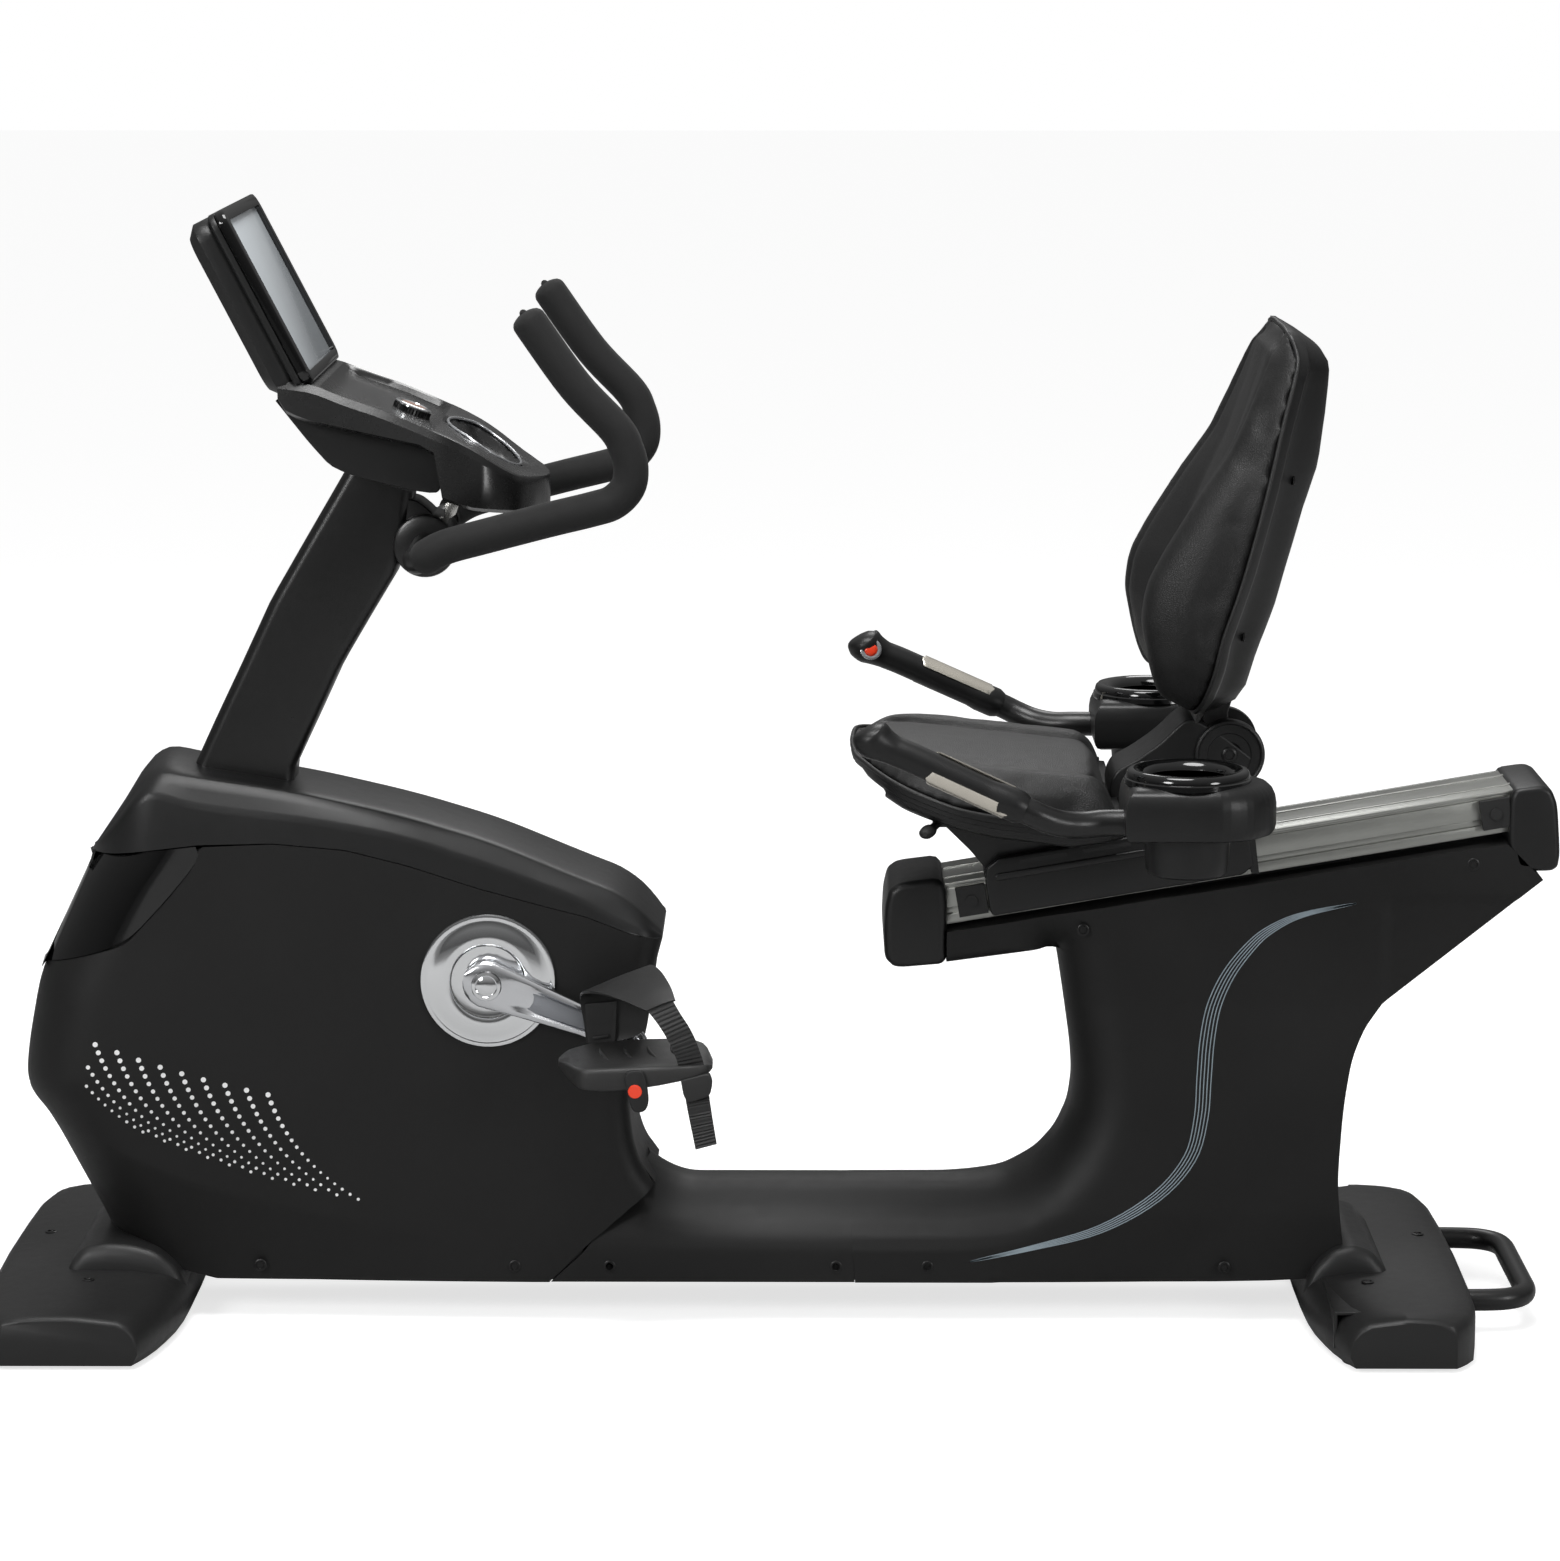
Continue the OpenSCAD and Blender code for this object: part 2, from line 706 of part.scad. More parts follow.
// Crank arm along +X from the axle, on the rider's right
module crank_arm() {
    end_r = 16;
    difference() {
        union() {
            pin_y([0, 0], 27, arm_y, arm_y + arm_t);
            pin_y([0, 0], 14, arm_y, arm_y + arm_t + 5);
            pin_y([crank_len, 0], end_r, arm_y + 2, arm_y + arm_t);
            slab([[0, -25], [crank_len, -end_r], [crank_len, end_r], [0, 25]], arm_y + 4, arm_y + arm_t - 4);
            pin_y([crank_len, 0], 7, arm_y + 4, pedal_out - 3);
        }
        pin_y([0, 0], axle_r, arm_y - 1, 120);
    }
}

module left_crank_arm() {
    color("silver") translate([crank[0], 0, crank[1]]) rotate([0, crank_rest, 0])
        mirror([0, 1, 0]) crank_arm();
}

module right_crank_arm() {
    color("silver") translate([crank[0], 0, crank[1]]) rotate([0, crank_rest + 180, 0]) crank_arm();
}

left_spindle = crank + crank_len * [cos(crank_rest), -sin(crank_rest)];
right_spindle = crank - crank_len * [cos(crank_rest), -sin(crank_rest)];

// Pedal about its own spindle, on the rider's right
module pedal() {
    l = pedal_l / 2;
    t = pedal_t / 2;
    difference() {
        union() {
            slab(
                [[-l, 0], [-l + 10, t], [l - 10, t], [l, 0], [l - 16, -t], [16 - l, -t]],
                pedal_in, pedal_out
            );
            slab(
                [[-13, -18], [-13, -38], [-8, -46], [8, -46], [13, -38], [13, -18]],
                pedal_out - 4, pedal_out + 5
            );
            slab([[-13, -18], [-13, 0], [13, 0], [13, -18]], pedal_out - 4, pedal_out + 5);
        }
        pin_y([0, 0], 7 + run_fit, pedal_in - 1, pedal_out - 2);
    }
}

module pedal_strap() {
    mid = pedal_in + pedal_w / 2;
    low = pedal_t / 2;
    arch = concat(
        [for (a = [0:12:180]) [mid + (pedal_w / 2 - 2) * cos(a), low + strap_h * sin(a)]],
        [
            for (a = [180:-12:0])
                [mid + (pedal_w / 2 - 5.5) * cos(a), low + (strap_h - 3.5) * sin(a)]
        ]
    );
    translate([-38, 0, 0]) rotate([90, 0, 90]) linear_extrude(72) polygon(arch);
    slab([[44, 14], [68, 14], [92, -94], [70, -98]], pedal_out, pedal_out + 3.5);
    slab([[34, 14], [34, 20], [70, 20], [70, 14]], pedal_out - 3, pedal_out + 3.5);
}

module left_pedal() {
    color("#2a2b2d") translate([left_spindle[0], 0, left_spindle[1]]) mirror([0, 1, 0]) pedal();
}

module right_pedal() {
    color("#2a2b2d") translate([right_spindle[0], 0, right_spindle[1]]) pedal();
}

module left_pedal_strap() {
    color("#1c1c1d") translate([left_spindle[0], 0, left_spindle[1]]) mirror([0, 1, 0]) pedal_strap();
}

module right_pedal_strap() {
    color("#1c1c1d") translate([right_spindle[0], 0, right_spindle[1]]) pedal_strap();
}

module flywheel() {
    color("gray") difference() {
        union() {
            pin_y(fly, fly_r, -85, -50);
            pin_y(fly, 10, -88, 62);
            pin_y(fly, small_r, belt_y[0], belt_y[1]);
        }
        ring_y(fly, 112, 40, -86, -76);
    }
}

module idler_pulley() {
    color("#4a4a4a") ring_y([idler_x, idler_z], idler_r, 8 + run_fit, belt_y[0], belt_y[1]);
}

module brake_arm() {
    color("goldenrod") difference() {
        union() {
            translate([fly[0], -51, fly[1]]) rotate([90, 0, 0]) rotate([0, 0, 25])
                rotate_extrude(angle = 75) translate([fly_r + 3, 0]) square([14, 33]);
            pin_y(brake_pin, 14, -84, -51);
        }
        pin_y(brake_pin, 6 + run_fit, -90, -40);
    }
}

/* Seat carriage and seat */

riser_outline = [
    rail_pt(2, 9), rail_pt(285, 9), rail_pt(285, 45), rail_pt(150, 45), [366, 556], [320, 547],
    [237, 558], [170, 576.8], [172, 562], [215, 520]
];

module carriage_frame() {
    color("#202124") {
        difference() {
            union() {
                slab(riser_outline, -58, 58);
                on_rail() box([0, 288], [1 - skirt_y[0], skirt_y[0] - 1], [1, 9]);
            }
            slab([[250, 515], [495, 556], [490, 566], [330, 540], [250, 549]], -54, 59);
        }
        translate([0, 0, 550]) linear_extrude(5) polygon([[174, -57], [200, -57], [196, -84], [174, -84]]);
        translate([lever_pin[0], lever_pin[1], 554]) cylinder(r = 4, h = 14);
    }
}

module carriage_cover() {
    color("#18191b") on_rail() both_sides() {
        box([0, carriage_l], [skirt_y[0], skirt_y[1]], [-42, 12]);
        box([2, carriage_l - 30], [skirt_y[0] - 4, skirt_y[1]], [12.2, 20]);
    }
}

module seat_pan() {
    top = [[370, 584], [320, 575], [237, 588], [141, 615], [92, 634]];
    color("#1b1c1e") slab(concat(pan_bottom, top), -seat_w / 2, seat_w / 2);
}

module seat_cushion() {
    low = [[92, 634.3], [141, 615.3], [237, 588.3], [320, 575.3], [368, 584]];
    high = [[366, 603], [350, 612], [320, 618], [237, 641], [150, 664], [112, 664], [94, 652]];
    color("#242427") slab(concat(low, high), -seat_w / 2 + 4, seat_w / 2 - 4);
}

module side_handle_tubes() {
    run = [
        grip_a, grip_b, [280, 342, 606], [299, 335, 599], [320, 325, 597], [342, 319, 598], [364, 319, 598]
    ];
    color("#1d1e20") {
        both_sides() sweep(run, tube_r);
        pin_y([432, 585], tube_r, -220, 220);
    }
}

module hand_grips() {
    nose = unit(grip_tip - grip_a);
    color("#1a1b1c") both_sides() difference() {
        union() {
            rod(grip_a, grip_b, sleeve_r);
            sweep(
                [grip_a - 9 * nose, grip_a + 8 * nose, grip_a + 26 * nose, grip_tip, grip_tip + 9 * nose],
                [sleeve_r - 1.5, sleeve_r - 1, 16, 15, 8]
            );
        }
        rod(grip_a, grip_b + (grip_b - grip_a), tube_r);
        pin_y([grip_tip[0], grip_tip[2]], 8 + run_fit, 300, 327);
    }
}

module grip_button() { pin_y([grip_tip[0], grip_tip[2]], 8, 318, 325); }

module left_grip_button() { color("orangered") mirror([0, 1, 0]) grip_button(); }

module right_grip_button() { color("orangered") grip_button(); }

module sensor_plates() {
    d = grip_b - grip_a;
    color("lightgray") both_sides()
        translate(grip_a) rotate([0, acos(d[2] / norm(d)), atan2(d[1], d[0])]) intersection() {
            difference() {
                cylinder(r = sleeve_r + 0.8, h = 108);
                translate([0, 0, -1]) cylinder(r = sleeve_r, h = 200);
            }
            union() {
                box([-30, -9], [-16, 16], [18, 106]);
                box([4, 30], [2, 30], [18, 106]);
            }
        }
}

module cup_holders() {
    color("#141517") both_sides() difference() {
        union() {
            box([364, 455], [cup_y - 70, cup_y + 70], [577, 638]);
            translate([455, cup_y, 577]) cylinder(r = 70, h = 61);
            translate([cup_x, cup_y, 630]) cylinder(r = 66, h = cup_top - 630);
            translate([cup_x, cup_y, 538]) cylinder(r = cup_r + 4, h = 60);
        }
        translate([cup_x, cup_y, 542]) cylinder(r = cup_r, h = 120);
        translate([cup_x, cup_y, 636]) cylinder(r = cup_r + 12, h = 20);
    }
}

module hinge_housing() {
    low = rail_pt(152, 45);
    high = rail_pt(283, 45);
    fairing = [
        low, high, [523, 600], [496, 624], [474, 648], [452, 664], [434, 645], [405, 622],
        [378, 608], [372, 600]
    ];
    color("#191a1c") {
        difference() {
            union() {
                slab(fairing, -52, 52);
                pin_y(pivot, pivot_r, -52, 52);
            }
            pin_y(pivot, pivot_r - 5, -40, 40);
            slab([pivot, pivot + [42, 80], pivot + [-90, 80], pivot + [-60, 38]], -40, 40);
            pin_y([432, 585], tube_r, -60, 60);
        }
        pin_y(pivot, 8, -40, 40);
    }
}

module backrest_bracket() {
    neck = [
        [476, 632], [496, 636], [495, 668], [505, 700], [538, 789], [565, 894], [545, 894],
        [505, 790], [472, 704], [468, 660]
    ];
    color("#26272a") difference() {
        union() {
            pin_y(pivot, 28, -38, 38);
            slab(neck, -34, 34);
        }
        pin_y(pivot, 8 + run_fit, -60, 60);
    }
}

module backrest_shell() {
    color("#17181a") difference() {
        slab(concat(back_middle, back_rear), -130, 130);
        intersection() {
            slab(concat([for (p = back_middle) p - [4, 0]], [for (p = back_rear) p - [6, 0]]), -126, 126);
            box([400, 600], [-130, 130], [600, 1080]);
        }
        pin_y(pivot, pivot_r + 2, -140, 140);
    }
}

module backrest_cushion() {
    color("#26262a") slab(concat(back_front, [for (p = back_middle) p - [0.3, 0]]), -back_w / 2, back_w / 2);
}

module seat_lever() {
    color("#151516") difference() {
        union() {
            translate([lever_pin[0], lever_pin[1], 555.5]) cylinder(r = 9, h = 10);
            rod([lever_pin[0] - 1, lever_pin[1] - 6, 561], [165, -196, 566], 4.5);
            rod([166, -190, 566], [162, -216, 566.5], 8);
        }
        translate([lever_pin[0], lever_pin[1], 540]) cylinder(r = 4 + run_fit, h = 40);
    }
}

module transport_wheels() {
    color("#222222") {
        both_sides() pin_y(roller, wheel_r, 200, 224);
        pin_y(roller, 6, -222, 222);
    }
}

base_beam();
front_upright();
rear_post();
stabilizers();
levelling_feet();
front_foot_cover();
rear_foot_cover();
foot_collars();
lift_handle();
left_side_cover();
right_side_cover();
top_cover();
front_window();
beam_cover();
left_rear_cover();
right_rear_cover();
seat_rail();
rail_end_caps();
rail_stops();
cover_screws();
mast();
handlebar_clamp();
handlebar();
handlebar_grips();
console_back();
console_bezel();
console_screen();
control_deck();
crank_bearings();
drive_belt();
crank_axle();
drive_pulley();
crank_discs();
left_crank_arm();
right_crank_arm();
left_pedal();
left_pedal_strap();
right_pedal();
right_pedal_strap();
flywheel();
idler_pulley();
brake_arm();
carriage_frame();
carriage_cover();
seat_pan();
seat_cushion();
side_handle_tubes();
hand_grips();
sensor_plates();
cup_holders();
hinge_housing();
backrest_bracket();
backrest_shell();
backrest_cushion();
seat_lever();
left_grip_button();
right_grip_button();
console_knob();
console_key();
transport_wheels();
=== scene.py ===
"""Looks for a recumbent exercise bike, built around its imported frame.

Every size is in millimetres in the frame's own axes (X towards the back of the
seat rail, Y to the rider's right, Z up) and becomes metres where a mesh is laid.
"""

from __future__ import annotations

import json
import logging
import math
from dataclasses import dataclass
from enum import Enum
from typing import Callable, Sequence

import bpy
import numpy as np
from mathutils import Matrix, Vector

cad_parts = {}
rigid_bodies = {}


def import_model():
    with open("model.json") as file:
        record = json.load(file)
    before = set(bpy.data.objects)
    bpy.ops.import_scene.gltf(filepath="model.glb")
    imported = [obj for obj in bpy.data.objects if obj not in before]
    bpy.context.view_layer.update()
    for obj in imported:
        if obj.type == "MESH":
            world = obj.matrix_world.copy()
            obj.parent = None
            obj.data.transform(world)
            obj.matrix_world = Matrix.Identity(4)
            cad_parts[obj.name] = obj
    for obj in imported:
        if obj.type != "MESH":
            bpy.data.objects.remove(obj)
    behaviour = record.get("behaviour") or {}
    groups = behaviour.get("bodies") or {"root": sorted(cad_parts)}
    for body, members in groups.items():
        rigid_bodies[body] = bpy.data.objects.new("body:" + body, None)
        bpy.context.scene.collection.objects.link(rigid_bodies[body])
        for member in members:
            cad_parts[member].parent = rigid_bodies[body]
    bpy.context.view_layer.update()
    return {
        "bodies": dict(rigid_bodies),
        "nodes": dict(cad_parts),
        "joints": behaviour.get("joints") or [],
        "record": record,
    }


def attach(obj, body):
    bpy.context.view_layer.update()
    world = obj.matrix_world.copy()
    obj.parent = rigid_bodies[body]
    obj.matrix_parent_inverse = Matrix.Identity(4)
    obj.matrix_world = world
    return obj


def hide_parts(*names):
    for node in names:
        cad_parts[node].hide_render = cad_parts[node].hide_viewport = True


LOG = logging.getLogger("bike")
MM = 0.001
Point = tuple[float, float, float]
Flat = tuple[float, float]
LEFT, RIGHT = -1, 1
COVER_HALF = 97.0


# ---------------------------------------------------------------- bench tools


def deselect() -> None:
    """Leaves object mode's selection empty."""
    if bpy.context.object and bpy.context.object.mode != "OBJECT":
        bpy.ops.object.mode_set(mode="OBJECT")
    bpy.ops.object.select_all(action="DESELECT")


def pick(obj: bpy.types.Object) -> None:
    """Makes one object the only selected and active one."""
    deselect()
    obj.select_set(True)
    bpy.context.view_layer.objects.active = obj


def lay_grid(name: str, rows: Sequence[Sequence[Sequence[float]]]) -> bpy.types.Object:
    """Lays a grid primitive over rows of points.

    Args:
        name: Name of the new piece.
        rows: Rows of equal length, in millimetres.

    Returns:
        The new mesh object.
    """
    tall, wide = len(rows), len(rows[0])
    deselect()
    bpy.ops.mesh.primitive_grid_add(x_subdivisions=wide - 1, y_subdivisions=tall - 1, size=1)
    obj = bpy.context.object
    obj.name = obj.data.name = name
    spots = np.asarray(rows, dtype=float).reshape(-1) * MM
    obj.data.vertices.foreach_set("co", spots)
    obj.data.update()
    return obj


def tidy_mesh(obj: bpy.types.Object, gap: float = 0.01, close: bool = False) -> bpy.types.Object:
    """Merges doubles, closes open ends if asked, and turns faces outwards.

    Args:
        obj: Piece to clean.
        gap: Largest distance between merged points, in millimetres.
        close: Whether open borders are filled.

    Returns:
        The same object.
    """
    pick(obj)
    bpy.ops.object.mode_set(mode="EDIT")
    bpy.ops.mesh.select_all(action="SELECT")
    bpy.ops.mesh.remove_doubles(threshold=gap * MM)
    bpy.ops.mesh.dissolve_degenerate(threshold=gap * MM)
    if close:
        bpy.ops.mesh.select_all(action="SELECT")
        bpy.ops.mesh.fill_holes(sides=0)
    bpy.ops.mesh.select_all(action="SELECT")
    bpy.ops.mesh.normals_make_consistent(inside=False)
    bpy.ops.object.mode_set(mode="OBJECT")
    return obj


def modify(obj: bpy.types.Object, kind: str, **values: object) -> bpy.types.Object:
    """Adds a modifier with its values and applies it at once."""
    pick(obj)
    mod = obj.modifiers.new(kind.title(), kind)
    for key, value in values.items():
        setattr(mod, key, value)
    bpy.ops.object.modifier_apply(modifier=mod.name)
    return obj


def bevel(obj: bpy.types.Object, width: float, segments: int = 3, angle: float = 30.0) -> bpy.types.Object:
    """Rounds every edge sharper than an angle by a width in millimetres."""
    return modify(
        obj, "BEVEL", width=width * MM, segments=segments, limit_method="ANGLE",
        angle_limit=math.radians(angle), harden_normals=False,
    )


def wall(obj: bpy.types.Object, thickness: float, offset: float = -1.0) -> bpy.types.Object:
    """Gives an open surface a wall of a thickness in millimetres."""
    return modify(obj, "SOLIDIFY", thickness=thickness * MM, offset=offset, use_even_offset=True)


def smooth(obj: bpy.types.Object, angle: float = 40.0) -> bpy.types.Object:
    """Shades an object smooth, with edges sharper than an angle kept crisp."""
    pick(obj)
    bpy.ops.object.shade_smooth_by_angle(angle=math.radians(angle))
    return obj


def join(name: str, parts: Sequence[bpy.types.Object]) -> bpy.types.Object:
    """Joins pieces into one object under one name."""
    deselect()
    for part in parts:
        part.select_set(True)
    bpy.context.view_layer.objects.active = parts[0]
    bpy.ops.object.join()
    obj = bpy.context.object
    obj.name = obj.data.name = name
    return obj


def mirrored(obj: bpy.types.Object, name: str) -> bpy.types.Object:
    """Copies a piece to the other side of the machine, with its own mesh."""
    pick(obj)
    bpy.ops.object.duplicate()
    twin = bpy.context.object
    twin.name = twin.data.name = name
    bpy.ops.object.mode_set(mode="EDIT")
    bpy.ops.mesh.select_all(action="SELECT")
    bpy.ops.object.mode_set(mode="OBJECT")
    twin.data.transform(Matrix.Scale(-1, 4, (0, 1, 0)))
    twin.data.flip_normals()
    return twin


def slab(
    name: str, outline: Sequence[Flat], near: float, far: float, edge: float = 0.0, segments: int = 3,
    angle: float = 25.0,
) -> bpy.types.Object:
    """Extrudes an outline in the XZ plane between two Y values and rounds its edges.

    Args:
        name: Name of the piece.
        outline: Corners (x, z) in order.
        near: First Y value.
        far: Second Y value.
        edge: Bevel width, or zero for sharp edges.
        segments: Bevel segments.
        angle: Edges sharper than this are rounded.

    Returns:
        The new object.
    """
    deselect()
    bpy.ops.mesh.primitive_circle_add(vertices=len(outline), radius=1, fill_type="NGON")
    obj = bpy.context.object
    obj.name = obj.data.name = name
    spots = [c * MM for x, z in outline for c in (x, near, z)]
    obj.data.vertices.foreach_set("co", spots)
    bpy.ops.object.mode_set(mode="EDIT")
    bpy.ops.mesh.select_all(action="SELECT")
    bpy.ops.mesh.extrude_region_move(TRANSFORM_OT_translate={"value": (0, (far - near) * MM, 0)})
    bpy.ops.mesh.select_all(action="SELECT")
    bpy.ops.mesh.normals_make_consistent(inside=False)
    bpy.ops.object.mode_set(mode="OBJECT")
    if edge:
        bevel(obj, edge, segments, angle)
    return smooth(obj)


def placed(obj: bpy.types.Object, turn: Matrix, at: Sequence[float]) -> bpy.types.Object:
    """Turns a mesh and moves it to a place in millimetres, leaving its object at the origin."""
    obj.data.transform(Matrix.Translation(Vector(at) * MM) @ turn.to_4x4())
    obj.data.update()
    return obj


def frames(path: Sequence[Vector], closed: bool = False) -> list[tuple[Vector, Vector]]:
    """Works out two cross directions at each point of a path, with no twist.

    Args:
        path: Points of the path.
        closed: Whether the path comes back to its start.

    Returns:
        Pairs of unit vectors across the path.
    """
    out: list[tuple[Vector, Vector]] = []
    last = None
    count = len(path)
    for i in range(count):
        a = path[(i - 1) % count] if closed or i > 0 else path[0]
        b = path[(i + 1) % count] if closed or i < count - 1 else path[-1]
        run = (b - a).normalized()
        if last is None:
            hint = Vector((0, 0, 1)) if abs(run.z) < 0.9 else Vector((1, 0, 0))
            u = hint.cross(run).normalized()
        else:
            u = (last - run * last.dot(run)).normalized()
        last = u
        out.append((u, run.cross(u).normalized()))
    return out


def curve_through(points: Sequence[Sequence[float]], steps: int) -> list[Vector]:
    """Runs a smooth curve through points, with a number of steps between each two."""
    pts = [Vector(p) for p in points]
    out: list[Vector] = []
    for i in range(len(pts) - 1):
        p0, p1, p2, p3 = pts[max(i - 1, 0)], pts[i], pts[i + 1], pts[min(i + 2, len(pts) - 1)]
        for k in range(steps):
            t = k / steps
            out.append(
                0.5 * (2 * p1 + (p2 - p0) * t + (2 * p0 - 5 * p1 + 4 * p2 - p3) * t * t
                       + (3 * p1 - p0 - 3 * p2 + p3) * t ** 3)
            )
    out.append(pts[-1])
    return out


def loft(name: str, rings: Sequence[Sequence[Sequence[float]]], caps: bool = True) -> bpy.types.Object:
    """Skins closed rings of points into one closed surface.

    Args:
        name: Name of the piece.
        rings: Rings of equal length, in millimetres.
        caps: Whether both ends are closed.

    Returns:
        The new object.
    """
    rows = [list(ring) + [ring[0]] for ring in rings]
    return tidy_mesh(lay_grid(name, rows), close=caps)


def tube(
    name: str, path: Sequence[Sequence[float]], radius: float | Sequence[float], sides: int = 24,
    flat: float = 1.0,
) -> bpy.types.Object:
    """Skins a round or oval bar along a path.

    Args:
        name: Name of the piece.
        path: Centre line, in millimetres.
        radius: One radius, or one for each point.
        sides: Points around.
        flat: Height of the section as a share of its width.

    Returns:
        The new object.
    """
    line = [Vector(p) for p in path]
    sizes = [radius] * len(line) if isinstance(radius, (int, float)) else list(radius)
    rings = []
    for p, (u, v), r in zip(line, frames(line), sizes):
        rings.append([
            p + u * (r * math.cos(2 * math.pi * k / sides)) + v
            * (flat * r * math.sin(2 * math.pi * k / sides))
            for k in range(sides)
        ])
    return smooth(loft(name, rings))


def lathe(
    name: str, profile: Sequence[Flat], base: Sequence[float], axis: Sequence[float], sides: int = 64,
) -> bpy.types.Object:
    """Spins a profile of (radius, height) points about an axis, by the spin tool.

    Args:
        name: Name of the piece.
        profile: Points (radius, height along the axis), in millimetres.
        base: Place of the profile's zero height.
        axis: Direction of the axis.
        sides: Steps around.

    Returns:
        The new object.
    """
    deselect()
    bpy.ops.mesh.primitive_plane_add(size=1)
    obj = bpy.context.object
    obj.name = obj.data.name = name
    bpy.ops.object.mode_set(mode="EDIT")
    bpy.ops.mesh.select_all(action="SELECT")
    bpy.ops.mesh.merge(type="CENTER")
    for i in range(1, len(profile)):
        step = (profile[i][0] - profile[i - 1][0], 0, profile[i][1] - profile[i - 1][1])
        bpy.ops.mesh.extrude_region_move(TRANSFORM_OT_translate={"value": tuple(c * MM for c in step)})
    bpy.ops.mesh.select_all(action="SELECT")
    bpy.ops.transform.translate(value=(profile[0][0] * MM, 0, profile[0][1] * MM))
    bpy.ops.mesh.spin(steps=sides, angle=2 * math.pi, center=(0, 0, 0), axis=(0, 0, 1))
    bpy.ops.mesh.select_all(action="SELECT")
    bpy.ops.mesh.remove_doubles(threshold=0.01 * MM)
    bpy.ops.mesh.fill_holes(sides=0)
    bpy.ops.mesh.select_all(action="SELECT")
    bpy.ops.mesh.normals_make_consistent(inside=False)
    bpy.ops.object.mode_set(mode="OBJECT")
    turn = Vector((0, 0, 1)).rotation_difference(Vector(axis).normalized()).to_matrix()
    return smooth(placed(obj, turn, base))


def resample(line: Sequence[Flat], count: int, ease: Callable[[float], float] | None = None) -> list[Flat]:
    """Takes evenly spaced points along a polyline.

    Args:
        line: Corners of the polyline.
        count: Number of points wanted.
        ease: Optional map of 0..1 that crowds the points.

    Returns:
        The points.
    """
    pts = np.asarray(line, dtype=float)
    run = np.concatenate([[0], np.cumsum(np.linalg.norm(np.diff(pts, axis=0), axis=1))])
    share = np.linspace(0, 1, count)
    if ease:
        share = np.array([ease(s) for s in share])
    where = share * run[-1]
    return [(float(np.interp(w, run, pts[:, 0])), float(np.interp(w, run, pts[:, 1]))) for w in where]


def rounded(line: Sequence[Flat], steps: int = 4, reach: float = 0.35) -> list[Flat]:
    """Softens the corners of a polyline, keeping its ends."""
    out = [line[0]]
    for a, b, c in zip(line, line[1:], line[2:]):
        p = (b[0] + (a[0] - b[0]) * reach, b[1] + (a[1] - b[1]) * reach)
        q = (b[0] + (c[0] - b[0]) * reach, b[1] + (c[1] - b[1]) * reach)
        for k in range(steps + 1):
            t = k / steps
            out.append((
                (1 - t) ** 2 * p[0] + 2 * t * (1 - t) * b[0] + t * t * q[0],
                (1 - t) ** 2 * p[1] + 2 * t * (1 - t) * b[1] + t * t * q[1],
            ))
    out.append(line[-1])
    return out


def coons(
    low: Sequence[Flat], high: Sequence[Flat], first: Sequence[Flat], last: Sequence[Flat],
    wide: int, tall: int, ease: Callable[[float], float] | None = None,
) -> list[list[Flat]]:
    """Fills four border lines with a net of points.

    Args:
        low: Border at the bottom, from first to last.
        high: Border at the top, the same way.
        first: Border from the start of low to the start of high.
        last: Border from the end of low to the end of high.
        wide: Points along low and high.
        tall: Points along first and last.
        ease: Optional crowding along low and high.

    Returns:
        Rows of (x, z) points, from low to high.
    """
    b, t = np.array(resample(low, wide, ease)), np.array(resample(high, wide, ease))
    f, r = np.array(resample(first, tall)), np.array(resample(last, tall))
    s = np.linspace(0, 1, wide)
    if ease:
        s = np.array([ease(x) for x in s])
    rows = []
    for j in range(tall):
        v = j / (tall - 1)
        row = []
        for i in range(wide):
            u = s[i]
            p = (1 - v) * b[i] + v * t[i] + (1 - u) * f[j] + u * r[j]
            p = p - ((1 - u) * (1 - v) * b[0] + u * (1 - v) * b[-1] + (1 - u) * v * t[0] + u * v * t[-1])
            row.append((float(p[0]), float(p[1])))
        rows.append(row)
    return rows


def across(line: Sequence[Flat], at: float) -> float:
    """Reads a height off a polyline given as (x, z) with rising x."""
    return float(np.interp(at, [p[0] for p in line], [p[1] for p in line]))


def away(line: Sequence[Flat], x: float, z: float) -> float:
    """Gives the distance from a point to a polyline."""
    pts = np.asarray(line, dtype=float)
    a, b = pts[:-1], pts[1:]
    d = b - a
    t = np.clip(((np.array([x, z]) - a) * d).sum(1) / np.maximum((d * d).sum(1), 1e-9), 0, 1)
    near = a + d * t[:, None]
    return float(np.sqrt(((near - np.array([x, z])) ** 2).sum(1)).min())


def dome(distance: float, reach: float) -> float:
    """Gives a quarter-round rise from 0 at the edge to 1 at a reach."""
    t = min(max(distance / reach, 0.0), 1.0)
    return math.sqrt(1 - (1 - t) ** 2)


# ------------------------------------------------------------------- finishes


class Texture(Enum):
    """Kinds of fine surface texture."""

    MOULDED = "moulded"
    LEATHER = "leather"
    FOAM = "foam"
    BRUSHED = "brushed"
    CAST = "cast"
    SMOOTH = "smooth"


